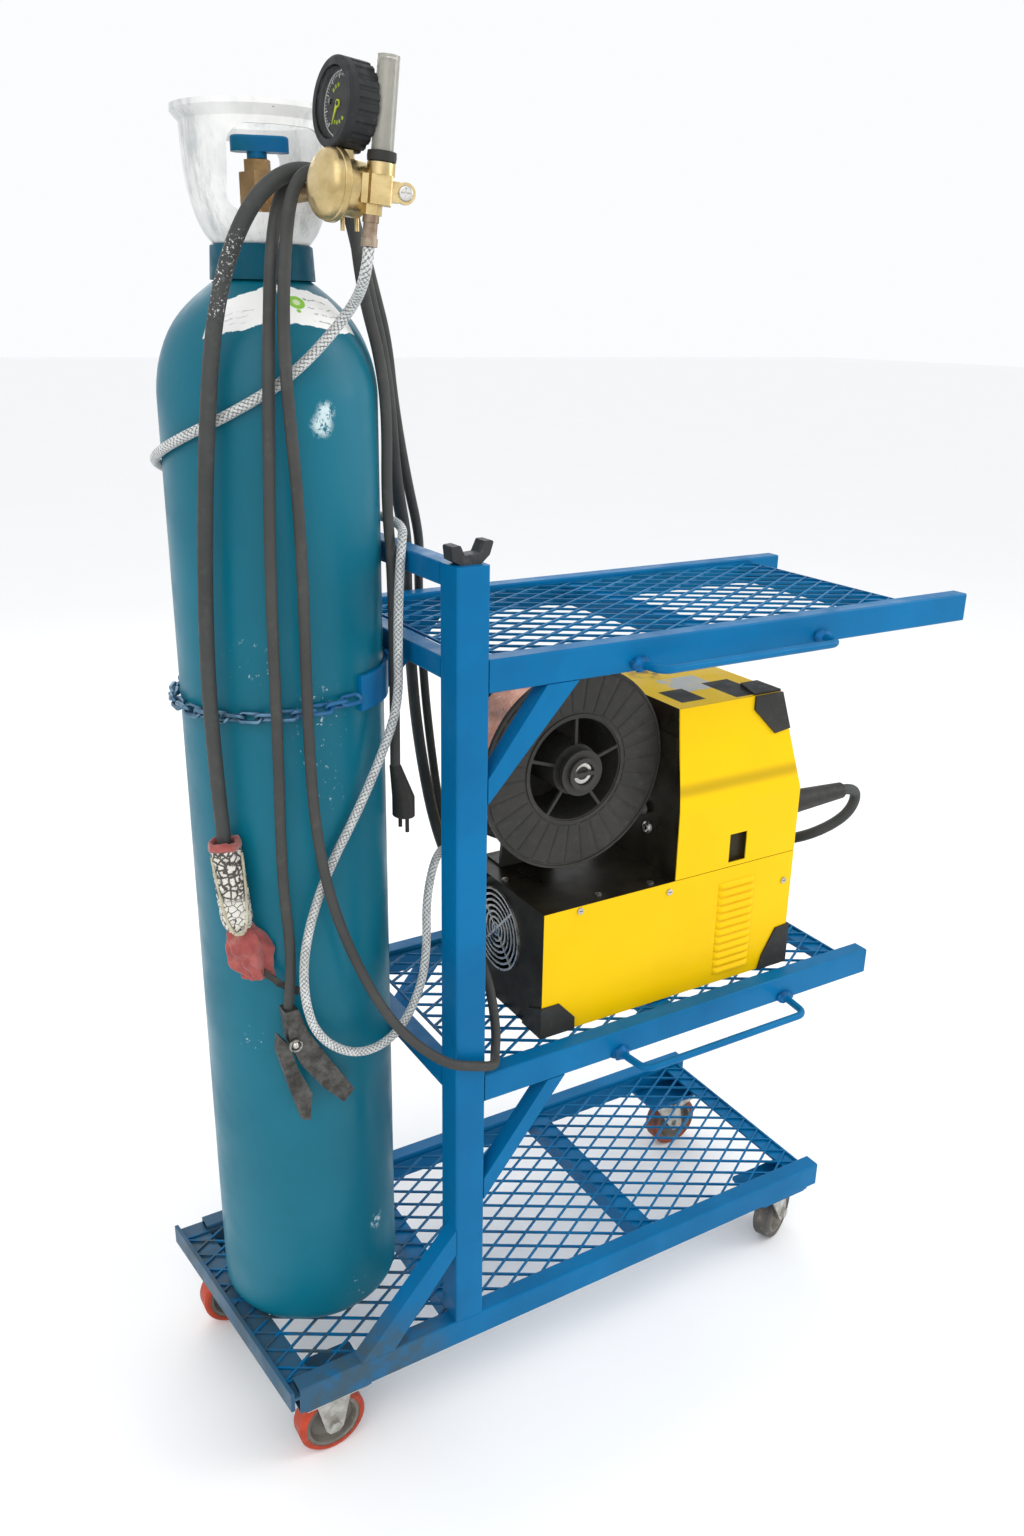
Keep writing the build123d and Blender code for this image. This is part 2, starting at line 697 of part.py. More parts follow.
with BuildPart() as flow_screw:
    with BuildSketch(flow_front.offset(5.2)):
        with Locations((25, 0)):
            Circle(6.6)
    extrude(amount=4)
    outward = Axis(flow_front.origin, flow_front.z_dir)
    fillet(flow_screw.edges().filter_by(GeomType.CIRCLE).sort_by(outward)[-1], 2)
    with BuildSketch(flow_front.offset(9.2)):
        with Locations((25, 0)):
            Rectangle(9, 1.4)
            Rectangle(1.4, 9)
    extrude(amount=-2, mode=Mode.SUBTRACT)
    with BuildSketch(flow_front.offset(5.2)):
        with Locations((25, 0)):
            Circle(2.45)
    extrude(amount=-4)
save(flow_screw.part, "flow_screw")

BARB_END = -47.0
with BuildPart() as hose_tail:
    with BuildSketch(flow_plane.offset(-21)):
        with Locations((-4, 0)):
            Circle(7.5)
    extrude(amount=-6)
    with BuildSketch(flow_plane.offset(-27)):
        with Locations((-4, 0)):
            Circle(6.5)
    extrude(amount=-13)
    with BuildSketch(flow_plane.offset(-40)):
        with Locations((-4, 0)):
            Circle(7.6)
    extrude(amount=BARB_END + 40)
save(hose_tail.part, "hose_tail")

# ------------------------------------------------------------------------ casters
PIN_R = 6.0


def mount_plate(x, y, z_top):
    """Square plate welded under a shelf corner, with its four bolts."""
    with BuildPart() as plate:
        with BuildSketch(Plane.XY.offset(z_top - 4)):
            with Locations((x, y)):
                RectangleRounded(92, 76, 4)
                with GridLocations(70, 54, 2, 2):
                    Circle(4.1, mode=Mode.SUBTRACT)
        extrude(amount=4)
    return plate.part


def corner_bolts(x, y, z_top):
    """Four bolts holding a caster's flange up to its plate, their heads below the flange."""
    with BuildPart() as bolts:
        with BuildSketch(Plane.XY.offset(z_top - 8)):
            with Locations((x, y)):
                with GridLocations(70, 54, 2, 2):
                    RegularPolygon(6.5, 6)
        extrude(amount=-4)
        with BuildSketch(Plane.XY.offset(z_top - 8)):
            with Locations((x, y)):
                with GridLocations(70, 54, 2, 2):
                    Circle(4)
        extrude(amount=8)
    return bolts.part


def fork_flange(x, y):
    """Flat flange of a caster, bolted under its mount plate."""
    with BuildPart() as flange:
        with BuildSketch(Plane.XY.offset(CASTER_TOP - 8)):
            with Locations((x, y)):
                RectangleRounded(88, 72, 5)
                with GridLocations(70, 54, 2, 2):
                    Circle(4.1, mode=Mode.SUBTRACT)
        extrude(amount=4)
    return flange.part


def fork_sides(x, y, lean, z_top):
    """Bridge and two tapering legs of a fork, and its axle bolt. The axle leans back by lean."""
    axle_x = x + lean
    with BuildPart() as fork:
        for side in (-1, 1):
            with BuildSketch(Plane.XZ.offset(-(y + side * 18 - 1.5))):
                with BuildLine():
                    Polyline(
                        (x - 27, z_top),
                        (x + 27, z_top),
                        (axle_x + 12, WHEEL_R - 6),
                        (axle_x + 6, WHEEL_R - 13),
                        (axle_x - 6, WHEEL_R - 13),
                        (axle_x - 12, WHEEL_R - 6),
                        close=True,
                    )
                make_face()
            extrude(amount=-3)
        with BuildSketch(Plane.XY.offset(z_top - 3)):
            with Locations((x, y)):
                Rectangle(54, 39)
        extrude(amount=3)
    with BuildPart() as axle:
        with BuildSketch(Plane.XZ.offset(-(y - 24))):
            with Locations((axle_x, WHEEL_R)):
                RegularPolygon(8, 6)
        extrude(amount=-4.5)
        with BuildSketch(Plane.XZ.offset(-(y + 24))):
            with Locations((axle_x, WHEEL_R)):
                RegularPolygon(8, 6)
        extrude(amount=4.5)
        with BuildSketch(Plane.XZ.offset(-(y - 22))):
            with Locations((axle_x, WHEEL_R)):
                Circle(AXLE_R)
        extrude(amount=-44)
    with BuildPart() as both:
        add(fork.part)
        add(axle.part)
    return both.part


def wheel_and_tread(x, y):
    """Dark hub with a raised rim, and the tyre around it, both turning about Y."""
    plane = Plane(origin=(x, y, WHEEL_R), x_dir=(1, 0, 0), z_dir=(0, 0, 1))
    rim_r = WHEEL_R - TREAD
    half = WHEEL_W / 2
    axis = Axis((x, y, WHEEL_R), (0, 1, 0))
    with BuildPart() as hub:
        with BuildSketch(plane):
            Polygon(
                (AXLE_R + 0.05, -half - 1.5),
                (13, -half - 1.5),
                (13, -5),
                (rim_r - 8, -5),
                (rim_r - 5, 1 - half),
                (rim_r, 1 - half),
                (rim_r, half - 1),
                (rim_r - 5, half - 1),
                (rim_r - 8, 5),
                (13, 5),
                (13, half + 1.5),
                (AXLE_R + 0.05, half + 1.5),
                align=None,
            )
        revolve(axis=axis)
    with BuildPart() as tyre:
        with BuildSketch(plane):
            Polygon(
                (rim_r, -half),
                (WHEEL_R - 3, -half),
                (WHEEL_R, 3 - half),
                (WHEEL_R, half - 3),
                (WHEEL_R - 3, half),
                (rim_r, half),
                align=None,
            )
        revolve(axis=axis)
    return hub.part, tyre.part


right_pins = [(RIGHT_PIN_X, NEAR_CASTER_Y), (RIGHT_PIN_X, FAR_CASTER_Y)]
left_pins = [(LEFT_CASTER_X, NEAR_CASTER_Y), FAR_LEFT_CASTER]
plates = []
for x, y in left_pins + right_pins:
    plates.append(mount_plate(x, y, CASTER_TOP))
    plates.extend(corner_bolts(x, y, CASTER_TOP).solids())
for x, y in right_pins:
    plates.append(fork_flange(x, y))
    with BuildPart() as race:
        with BuildSketch(Plane.XY.offset(CASTER_TOP - 8)):
            with Locations((x, y)):
                Circle(22)
        extrude(amount=-6)
        with BuildSketch(Plane.XY.offset(CASTER_TOP - 14)):
            with Locations((x, y)):
                Circle(PIN_R)
        extrude(amount=-3.5)
        with BuildSketch(Plane.XY.offset(CASTER_TOP - 17.5)):
            with Locations((x, y)):
                Circle(10)
        extrude(amount=-3)
    plates.append(race.part)
save(Compound(children=plates), "caster_plates")

left_fork_parts = []
for x, y in left_pins:
    left_fork_parts.append(fork_flange(x, y))
    left_fork_parts.extend(fork_sides(x, y, 0, CASTER_TOP - 8).solids())
save(Compound(children=left_fork_parts), "left_forks")

for side, (x, y) in zip(("near", "far"), left_pins):
    hub, tyre = wheel_and_tread(x, y)
    save(hub, f"{side}_left_wheel")
    save(tyre, f"{side}_left_tread")

SWIVEL_TOP = CASTER_TOP - 14.3
for side, (x, y), turn in zip(("near", "far"), right_pins, (NEAR_SWIVEL, 0)):
    pin_axis = Axis((x, y, 0), (0, 0, 1))
    with BuildPart() as fork:
        add(fork_sides(x, y, TRAIL, SWIVEL_TOP))
        with BuildSketch(Plane.XY.offset(SWIVEL_TOP)):
            with Locations((x, y)):
                Circle(PIN_R + 0.05)
        extrude(amount=-10, mode=Mode.SUBTRACT)
    save(fork.part.rotate(pin_axis, turn), f"{side}_right_fork")
    hub, tyre = wheel_and_tread(x + TRAIL, y)
    save(hub.rotate(pin_axis, turn), f"{side}_right_wheel")
    save(tyre.rotate(pin_axis, turn), f"{side}_right_tread")

PEDAL_X = RIGHT_PIN_X + 18
PEDAL_Z = 84.0
PEDAL_REACH = 52.0
with BuildPart() as brake_pedal:
    for side in (-1, 1):
        with BuildSketch(Plane.XZ.offset(-(FAR_CASTER_Y + side * 21.3 - 1.5))):
            with BuildLine():
                Polyline(
                    (PEDAL_X - 6, PEDAL_Z - 5),
                    (PEDAL_X + 6, PEDAL_Z - 5),
                    (PEDAL_X + PEDAL_REACH, PEDAL_Z + 8),
                    (PEDAL_X + PEDAL_REACH, PEDAL_Z + 12),
                    (PEDAL_X - 4, PEDAL_Z + 5),
                    close=True,
                )
            make_face()
        extrude(amount=-3)
    with BuildSketch(Plane.XZ.offset(-(FAR_CASTER_Y - 22.8))):
        with BuildLine():
            Polyline(
                (PEDAL_X + PEDAL_REACH - 16, PEDAL_Z + 8),
                (PEDAL_X + PEDAL_REACH, PEDAL_Z + 8.5),
                (PEDAL_X + PEDAL_REACH, PEDAL_Z + 12),
                (PEDAL_X + PEDAL_REACH - 16, PEDAL_Z + 11),
                close=True,
            )
        make_face()
    extrude(amount=-45.6)
save(brake_pedal.part, "brake_pedal")

# ------------------------------------------------------------------------- welder
W_LENGTH = W_FRONT - W_REAR
W_WIDTH = W_FAR - W_NEAR
w_middle_x = (W_FRONT + W_REAR) / 2
w_middle_y = (W_FAR + W_NEAR) / 2
with BuildPart() as welder_base:
    with BuildSketch(Plane.XY.offset(W_BASE)):
        with Locations((w_middle_x, w_middle_y)):
            Rectangle(W_LENGTH, W_WIDTH)
    extrude(amount=W_DECK - W_BASE)
    with BuildSketch(Plane.XY.offset(W_BASE + SHEET)):
        with Locations((w_middle_x + SHEET, w_middle_y)):
            Rectangle(W_LENGTH, W_WIDTH - 2 * SHEET)
    extrude(amount=W_DECK - W_BASE - 2 * SHEET, mode=Mode.SUBTRACT)
    with BuildSketch(Plane.YZ.offset(W_REAR - 1)):
        with Locations((FAN_Y, FAN_Z)):
            Circle(FAN_R - 2)
    extrude(amount=SHEET + 2, mode=Mode.SUBTRACT)
    with BuildSketch(Plane.XZ.offset(-W_NEAR + 1)):
        for row in range(12):
            with Locations((199.5, 530 + row * 12)):
                SlotOverall(60, 4)
    extrude(amount=-(SHEET + 2), mode=Mode.SUBTRACT)
save(welder_base.part, "welder_base")

DOOR_GAP = 0.3
GUIDE_Y = -30.0
GUIDE_Z = 768.0
with BuildPart() as welder_cover:
    with BuildSketch(Plane.XZ.offset(-W_FAR)):
        with BuildLine():
            Polyline(
                (W_WALL_X, W_DECK),
                (W_FRONT, W_DECK),
                (W_FRONT, W_CREASE),
                (W_FRONT - W_SLOPE, W_TOP),
                (W_WALL_X, W_TOP),
                close=True,
            )
        make_face()
    extrude(amount=W_WIDTH)
    with BuildSketch(Plane.YZ.offset(W_WALL_X - 1)):
        with BuildLine():
            Polyline(
                (W_NEAR - 1, W_DECK - 1),
                (W_NEAR + SHEET + DOOR_GAP, W_DECK - 1),
                (W_NEAR + SHEET + DOOR_GAP, W_CREASE),
                (W_NEAR + W_LEAN + SHEET + DOOR_GAP, W_TOP + 1),
                (W_NEAR - 1, W_TOP + 1),
                close=True,
            )
        make_face()
    extrude(amount=W_FRONT - W_WALL_X + 2, mode=Mode.SUBTRACT)
    with BuildSketch(Plane.XZ.offset(-W_FAR + SHEET)):
        with BuildLine():
            Polyline(
                (W_WALL_X + SHEET, W_DECK + SHEET),
                (W_FRONT - SHEET, W_DECK + SHEET),
                (W_FRONT - SHEET, W_CREASE),
                (W_FRONT - W_SLOPE - SHEET, W_TOP - SHEET),
                (W_WALL_X + SHEET, W_TOP - SHEET),
                close=True,
            )
        make_face()
    extrude(amount=W_WIDTH, mode=Mode.SUBTRACT)
    with BuildSketch(Plane.YZ.offset(W_WALL_X - 1)):
        with Locations((GUIDE_Y, GUIDE_Z)):
            Circle(8.3)
    extrude(amount=SHEET + 2, mode=Mode.SUBTRACT)
    with BuildSketch(Plane.YZ.offset(W_WALL_X)):
        with Locations((-68.5, 854.5)):
            RectangleRounded(53, 67, 5)
    extrude(amount=-3)
save(welder_cover.part, "welder_cover")

HATCH_X = 195.0
HATCH_Z = 718.0
HATCH_W = 30.0
HATCH_H = 42.0
with BuildPart() as feeder_door:
    with BuildSketch(Plane.YZ.offset(W_WALL_X)):
        with BuildLine():
            Polyline(
                (W_NEAR, W_DECK + 1),
                (W_NEAR, W_CREASE),
                (W_NEAR + W_LEAN, W_TOP),
                (W_NEAR + W_LEAN + SHEET, W_TOP),
                (W_NEAR + SHEET, W_CREASE),
                (W_NEAR + SHEET, W_DECK + 1),
                close=True,
            )
        make_face()
    extrude(amount=W_FRONT - W_WALL_X)
    with BuildSketch(Plane.XZ.offset(-W_FAR)):
        with BuildLine():
            Polyline(
                (W_FRONT, W_CREASE),
                (W_FRONT + 5, W_CREASE),
                (W_FRONT + 5, W_TOP + 5),
                (W_FRONT - W_SLOPE, W_TOP + 5),
                (W_FRONT - W_SLOPE, W_TOP),
                close=True,
            )
        make_face()
    extrude(amount=W_WIDTH + 5, mode=Mode.SUBTRACT)
    with BuildSketch(Plane.XZ.offset(-W_NEAR + 1)):
        with Locations((HATCH_X, HATCH_Z)):
            Rectangle(HATCH_W, HATCH_H)
    extrude(amount=-6, mode=Mode.SUBTRACT)
    with BuildSketch(Plane.XZ.offset(-W_NEAR - SHEET)):
        with Locations((HATCH_X, HATCH_Z)):
            Rectangle(HATCH_W + 6, HATCH_H + 6)
    extrude(amount=-8)
    with BuildSketch(Plane.XZ.offset(-W_NEAR - SHEET)):
        with Locations((HATCH_X, HATCH_Z)):
            Rectangle(HATCH_W, HATCH_H)
    extrude(amount=-6, mode=Mode.SUBTRACT)
save(feeder_door.part, "feeder_door")

KNOB_Z = 640.0
SOCKET_Y = 61.5
SOCKET_Z = 563.0
with BuildPart() as front_panel:
    with BuildSketch(Plane.YZ.offset(W_FRONT - SHEET)):
        with Locations((w_middle_y, (W_BASE + W_DECK) / 2)):
            Rectangle(W_WIDTH - 2 * SHEET, W_DECK - W_BASE - 2 * SHEET)
    extrude(amount=SHEET)
    with BuildSketch(Plane.YZ.offset(W_FRONT)):
        with Locations((0, KNOB_Z)):
            Circle(3)
    extrude(amount=14)
save(front_panel.part, "front_panel")

with BuildPart() as current_knob:
    with BuildSketch(Plane.YZ.offset(W_FRONT + 1)):
        with Locations((0, KNOB_Z)):
            Circle(15)
            with PolarLocations(15.6, 12):
                Circle(1.8, mode=Mode.SUBTRACT)
    extrude(amount=16)
    with BuildSketch(Plane.YZ.offset(W_FRONT + 1)):
        with Locations((0, KNOB_Z)):
            Circle(3.05)
    extrude(amount=14, mode=Mode.SUBTRACT)
save(current_knob.part, "current_knob")

RELIEF_END = 429.0
SOCKET_END = 384.0


def stepped(plane, steps):
    """Round fitting from (start, length, radius at the start, radius at the end) steps."""
    with BuildPart() as fitting:
        for start, length, first, last in steps:
            with BuildSketch(plane.offset(start)):
                Circle(first)
            with BuildSketch(plane.offset(start + length)):
                Circle(last)
            loft()
    return fitting.part


torch_exit = Plane(origin=(W_FRONT, TORCH_EXIT_Y, TORCH_EXIT_Z), x_dir=(0, 1, 0), z_dir=(1, 0, 0))
earth_exit = Plane(origin=(W_FRONT, SOCKET_Y, SOCKET_Z), x_dir=(0, 1, 0), z_dir=(1, 0, 0))
relief_length = RELIEF_END - W_FRONT
torch_socket = stepped(torch_exit, [(0, 8, 22, 22), (8, 30, 17, 17), (38, relief_length - 38, 17, 12)])
earth_socket = stepped(earth_exit, [(0, 6, 18, 18), (6, 36, 14, 14), (42, 41, 12, 8)])

GLAND_Y = 76.0
GLAND_Z = 650.0
GAS_IN_Y = 50.0
GAS_IN_Z = 682.0
rear_gland = Plane(origin=(W_REAR, GLAND_Y, GLAND_Z), x_dir=(0, 1, 0), z_dir=(-1, 0, 0))
rear_inlet = Plane(origin=(W_REAR, GAS_IN_Y, GAS_IN_Z), x_dir=(0, 1, 0), z_dir=(-1, 0, 0))
gland = stepped(rear_gland, [(0, 5, 12, 12), (5, 9, 9, 7)])
inlet = stepped(rear_inlet, [(0, 4, 8, 8), (4, 14, 5.3, 5.3)])
save(Compound(children=[torch_socket, earth_socket, gland, inlet]), "cable_fittings")

PAD = 3.0
near_face = Plane(origin=(0, W_NEAR, 0), x_dir=(1, 0, 0), z_dir=(0, -1, 0))
lean_up = Vector(0, W_LEAN, W_TOP - W_CREASE).normalized()
lean_face = Plane(origin=(0, W_NEAR, W_CREASE), x_dir=(1, 0, 0), z_dir=Vector(1, 0, 0).cross(lean_up))
with BuildPart() as rear_pad:
    with BuildSketch(near_face):
        Polygon(
            (W_REAR - PAD, W_BASE), (W_REAR + 50, W_BASE), (W_REAR + 50, W_BASE + 18),
            (W_REAR + 26, W_BASE + 44), (W_REAR - PAD, W_BASE + 44), align=None,
        )
    extrude(amount=PAD)
    with BuildSketch(Plane.YZ.offset(W_REAR)):
        Polygon(
            (W_NEAR, W_BASE), (W_NEAR + 44, W_BASE), (W_NEAR + 30, W_BASE + 30),
            (W_NEAR, W_BASE + 44), align=None,
        )
    extrude(amount=-PAD)
with BuildPart() as front_pad:
    with BuildSketch(near_face):
        Polygon(
            (W_FRONT + PAD, W_BASE), (W_FRONT - 50, W_BASE), (W_FRONT - 44, W_BASE + 22),
            (W_FRONT - 22, W_BASE + 60), (W_FRONT + PAD, W_BASE + 62), align=None,
        )
    extrude(amount=PAD)
    with BuildSketch(Plane.YZ.offset(W_FRONT)):
        Polygon(
            (W_NEAR, W_BASE), (W_NEAR + 44, W_BASE), (W_NEAR + 30, W_BASE + 40),
            (W_NEAR, W_BASE + 62), align=None,
        )
    extrude(amount=PAD)
with BuildPart() as top_pad:
    rise = 1 / cos(radians(6.1))
    with BuildSketch(Plane.XY.offset(W_TOP)):
        Polygon(
            (W_FRONT - W_SLOPE, W_NEAR + W_LEAN + SHEET + DOOR_GAP),
            (W_FRONT - W_SLOPE, W_NEAR + W_LEAN + 50),
            (W_FRONT - W_SLOPE - 30, W_NEAR + W_LEAN + 50),
            (W_FRONT - W_SLOPE - 47, W_NEAR + W_LEAN + SHEET + DOOR_GAP),
            align=None,
        )
    extrude(amount=PAD)
with BuildPart() as door_pad:
    with BuildSketch(lean_face):
        Polygon(
            (W_FRONT - W_SLOPE - 47, (W_TOP - W_CREASE) * rise),
            (W_FRONT - W_SLOPE - 49, (W_TOP - W_CREASE - 18) * rise),
            (W_FRONT - W_SLOPE - 13, (W_TOP - W_CREASE - 55) * rise),
            (W_FRONT - W_SLOPE + 14, (W_TOP - W_CREASE - 51.5) * rise),
            (W_FRONT - W_SLOPE, (W_TOP - W_CREASE) * rise),
            align=None,
        )
    extrude(amount=PAD)
save(Compound(children=[rear_pad.part, front_pad.part, top_pad.part]), "corner_pads")
save(door_pad.part, "door_pad")

with BuildPart() as fan_grille:
    with BuildSketch(Plane.YZ.offset(W_REAR)):
        with Locations((FAN_Y, FAN_Z)):
            for ring in range(7):
                Circle(FAN_R - ring * 8)
                Circle(FAN_R - ring * 8 - 3, mode=Mode.SUBTRACT)
            Circle(5)
            for turn in (45, 135):
                Rectangle(2 * FAN_R - 3, 3.4, rotation=turn)
    extrude(amount=-3)
save(fan_grille.part, "fan_grille")

fan_plane = Plane(origin=(W_REAR + 8, FAN_Y, FAN_Z), x_dir=(0, 1, 0), z_dir=(1, 0, 0))
with BuildPart() as fan_rotor:
    with BuildSketch(fan_plane):
        Circle(18)
        Circle(2.55, mode=Mode.SUBTRACT)
    extrude(amount=16)
    for blade in range(7):
        bearing = radians(blade * 360 / 7)
        out = Vector(0, cos(bearing), sin(bearing))
        root = Vector(W_REAR + 16, FAN_Y, FAN_Z) + out * 17
        along = Vector(1, 0, 0) * cos(radians(35)) + Vector(1, 0, 0).cross(out) * sin(radians(35))
        with BuildSketch(Plane(origin=root, x_dir=along, z_dir=out)):
            Rectangle(16, 1.8)
        extrude(amount=34)
save(fan_rotor.part, "fan_rotor")

with BuildPart() as power_unit:
    with BuildSketch(Plane.XY.offset(W_BASE + SHEET)):
        with Locations((70, 0)):
            Rectangle(220, 120)
    extrude(amount=120)
    with BuildSketch(Plane.XY.offset(W_BASE + SHEET + 120)):
        with Locations((70, 0)):
            with GridLocations(0, 14, 1, 8):
                Rectangle(200, 4)
    extrude(amount=30)
    with BuildSketch(Plane.YZ.offset(W_REAR + 30)):
        with Locations((FAN_Y, FAN_Z)):
            Circle(20)
    extrude(amount=60)
    with BuildSketch(Plane.YZ.offset(W_REAR + 9)):
        with Locations((FAN_Y, FAN_Z)):
            Circle(2.5)
    extrude(amount=22)
save(power_unit.part, "power_unit")

with BuildPart() as feed_motor:
    with BuildSketch(Plane.YZ.offset(W_WALL_X - 10)):
        with Locations((GUIDE_Y, GUIDE_Z)):
            Circle(8)
    extrude(amount=50)
    with BuildSketch(Plane.XY.offset(W_DECK + SHEET)):
        with Locations((175, -24)):
            Rectangle(90, 28)
    extrude(amount=118)
    with BuildSketch(Plane.XZ.offset(10)):
        with Locations((175, 768)):
            Circle(32)
    extrude(amount=-80)
    with BuildSketch(Plane.XZ.offset(38)):
        with Locations((158, 782), (192, 782), (158, 752), (192, 752)):
            Circle(14)
    extrude(amount=12)
save(feed_motor.part, "feed_motor")

FLANGE = 4.0
RIM_R = 73.0
CORE_R = 52.0
HUB_R = 33.0
BORE_R = 24.0


def spool_disc(y, side):
    """One flange: ribbed annulus, a raised ring, and five spokes down to the hub."""
    plane = Plane(origin=(SPOOL_X, y, SPOOL_Z), x_dir=(1, 0, 0), z_dir=(0, side, 0))
    with BuildPart() as disc:
        with BuildSketch(plane):
            Circle(SPOOL_R)
            Circle(RIM_R - 6, mode=Mode.SUBTRACT)
            Circle(HUB_R)
            Circle(BORE_R, mode=Mode.SUBTRACT)
            with PolarLocations(0, 5, start_angle=18):
                with Locations((HUB_R + 18, 0)):
                    Rectangle(40, 4)
        extrude(amount=-FLANGE)
        with BuildSketch(plane):
            Circle(SPOOL_R)
            Circle(SPOOL_R - 3, mode=Mode.SUBTRACT)
            Circle(RIM_R)
            Circle(RIM_R - 4, mode=Mode.SUBTRACT)
        extrude(amount=1.5)
    return disc.part


with BuildPart() as spool:
    add(spool_disc(SPOOL_NEAR, -1))
    add(spool_disc(SPOOL_FAR, 1))
    with BuildSketch(Plane.XZ.offset(-SPOOL_NEAR)):
        with Locations((SPOOL_X, SPOOL_Z)):
            Circle(RIM_R)
            Circle(RIM_R - 4, mode=Mode.SUBTRACT)
            Circle(HUB_R)
            Circle(BORE_R, mode=Mode.SUBTRACT)
    extrude(amount=SPOOL_NEAR - SPOOL_FAR)
save(spool.part, "spool")

WIRE_R = 112.0
with BuildPart() as spool_wire:
    with BuildSketch(Plane.XZ.offset(-SPOOL_NEAR - FLANGE)):
        with Locations((SPOOL_X, SPOOL_Z)):
            Circle(WIRE_R)
            Circle(RIM_R, mode=Mode.SUBTRACT)
    extrude(amount=SPOOL_NEAR - SPOOL_FAR + 2 * FLANGE)
save(spool_wire.part, "spool_wire")

AXLE_END = SPOOL_NEAR - 10
with BuildPart() as spool_spindle:
    with BuildSketch(Plane.XZ.offset(-AXLE_END)):
        with Locations((SPOOL_X, SPOOL_Z)):
            Circle(BORE_R - 0.05)
    extrude(amount=AXLE_END - SPOOL_FAR - 12)
    with BuildSketch(Plane.XZ.offset(-AXLE_END)):
        with Locations((SPOOL_X, SPOOL_Z)):
            Circle(HUB_R - 3)
    extrude(amount=6)
    with BuildSketch(Plane.XZ.offset(-AXLE_END + 6)):
        with Locations((SPOOL_X, SPOOL_Z)):
            Circle(21)
            Circle(15, mode=Mode.SUBTRACT)
            Rectangle(34, 5)
    extrude(amount=5)
    with BuildSketch(Plane.XZ.offset(-SPOOL_FAR - 6)):
        with BuildLine():
            Polyline(
                (SPOOL_X - 30, SPOOL_Z + 26),
                (SPOOL_X + 30, SPOOL_Z + 26),
                (SPOOL_X + 44, W_DECK),
                (SPOOL_X - 44, W_DECK),
                close=True,
            )
        make_face()
    extrude(amount=-6)
    with BuildSketch(Plane.XY.offset(W_DECK)):
        with Locations((SPOOL_X, SPOOL_FAR + 24)):
            Rectangle(88, 36)
    extrude(amount=3)
save(spool_spindle.part, "spool_spindle")

SCREW_R = 4.5
near_screws = [(-63, 684), (80, 677), (286, 647)]
deck_screws = [(-24, -92), (57, -96), (-107, 5)]
with BuildPart() as panel_screws:
    with BuildSketch(near_face):
        with Locations(*near_screws):
            Circle(SCREW_R)
            Rectangle(6, 1.2, mode=Mode.SUBTRACT)
    extrude(amount=2)
    with BuildSketch(Plane.XY.offset(W_DECK)):
        with Locations(*deck_screws):
            Circle(SCREW_R)
            Rectangle(6, 1.2, mode=Mode.SUBTRACT)
    extrude(amount=2)
save(panel_screws.part, "panel_screws")

# -------------------------------------------------------------------------- cords
TORCH_D = 16.0
EARTH_D = 12.0
MAINS_D = 12.0
HOSE_D = 10.6


def cord(points, diameter):
    """Round cord along straight runs joined by tangent arcs as large as the runs allow."""
    route = [Vector(*point) for point in points]
    radii = []
    for before, corner, after in zip(route, route[1:], route[2:]):
        turn = radians((corner - before).get_angle(after - corner))
        shorter = min((corner - before).length, (after - corner).length)
        radii.append(0.45 * shorter / tan(turn / 2))
    with BuildPart() as tube:
        with BuildLine() as path:
            FilletPolyline(*route, radius=radii)
        with BuildSketch(Plane(origin=path.line @ 0, z_dir=path.line % 0)):
            Circle(diameter / 2)
        sweep()
    return tube.part


wrap_top = Vector(-494, -36, 842)
wrap_end = Vector(-487, -45, 735)
torch_points = [
    (RELIEF_END, TORCH_EXIT_Y, TORCH_EXIT_Z),
    (470, -61, 741),
    (466, -54, 692),
    (400, -36, 662),
    (374, 28, 636),
    (328, 110, 602),
    (240, 126, 548),
    (150, 130, 521.5),
    (30, 124, 522),
    (-70, 130, 560),
    (-124, 162, 680),
    (-139, 198, 838),
    (-133, 233, 978),
    (-136, 233, 1062),
    (-190, 120, 1128),
    (-240, 46, 1214),
    (-265, 6, 1302),
    (-277, 1, 1366),
    (-294, -8, 1412),
    (-309, -20, 1462),
    (-336, -52, 1504),
    (-386, -75, 1520),
    (-426, -76, 1502),
    (-450, -58, 1460),
    (-470, -48, 1396),
    (-486, -51, 1300),
    (-496, -38, 1140),
    (-500, -34, 980),
    tuple(wrap_top),
]
save(cord(torch_points, TORCH_D), "torch_lead")

wrap_plane = Plane(origin=wrap_top, z_dir=wrap_end - wrap_top)
wrap_length = (wrap_end - wrap_top).length
with BuildPart() as torch_wrap:
    with BuildSketch(wrap_plane):
        Circle(18)
    extrude(amount=wrap_length)
    fillet(torch_wrap.edges().filter_by(GeomType.CIRCLE).sort_by(Axis.Z)[0], 7)
    with BuildSketch(wrap_plane.offset(-8)):
        Circle(19.5)
        Circle(16, mode=Mode.SUBTRACT)
    extrude(amount=10)
    with BuildSketch(Plane.XY.offset(752)):
        with Locations((-477, -54)):
            Ellipse(20, 11)
    with BuildSketch(Plane.XY.offset(712)):
        with Locations((-475, -57)):
            Ellipse(25, 12)
    with BuildSketch(Plane.XY.offset(676)):
        with Locations((-475, -58)):
            Ellipse(16, 10)
    loft()
    with BuildSketch(Plane(origin=(-468, -60, 686), z_dir=(0.78, -0.2, -0.6))):
        RectangleRounded(8, 4, 1.5)
    extrude(amount=27)
save(torch_wrap.part, "torch_wrap")

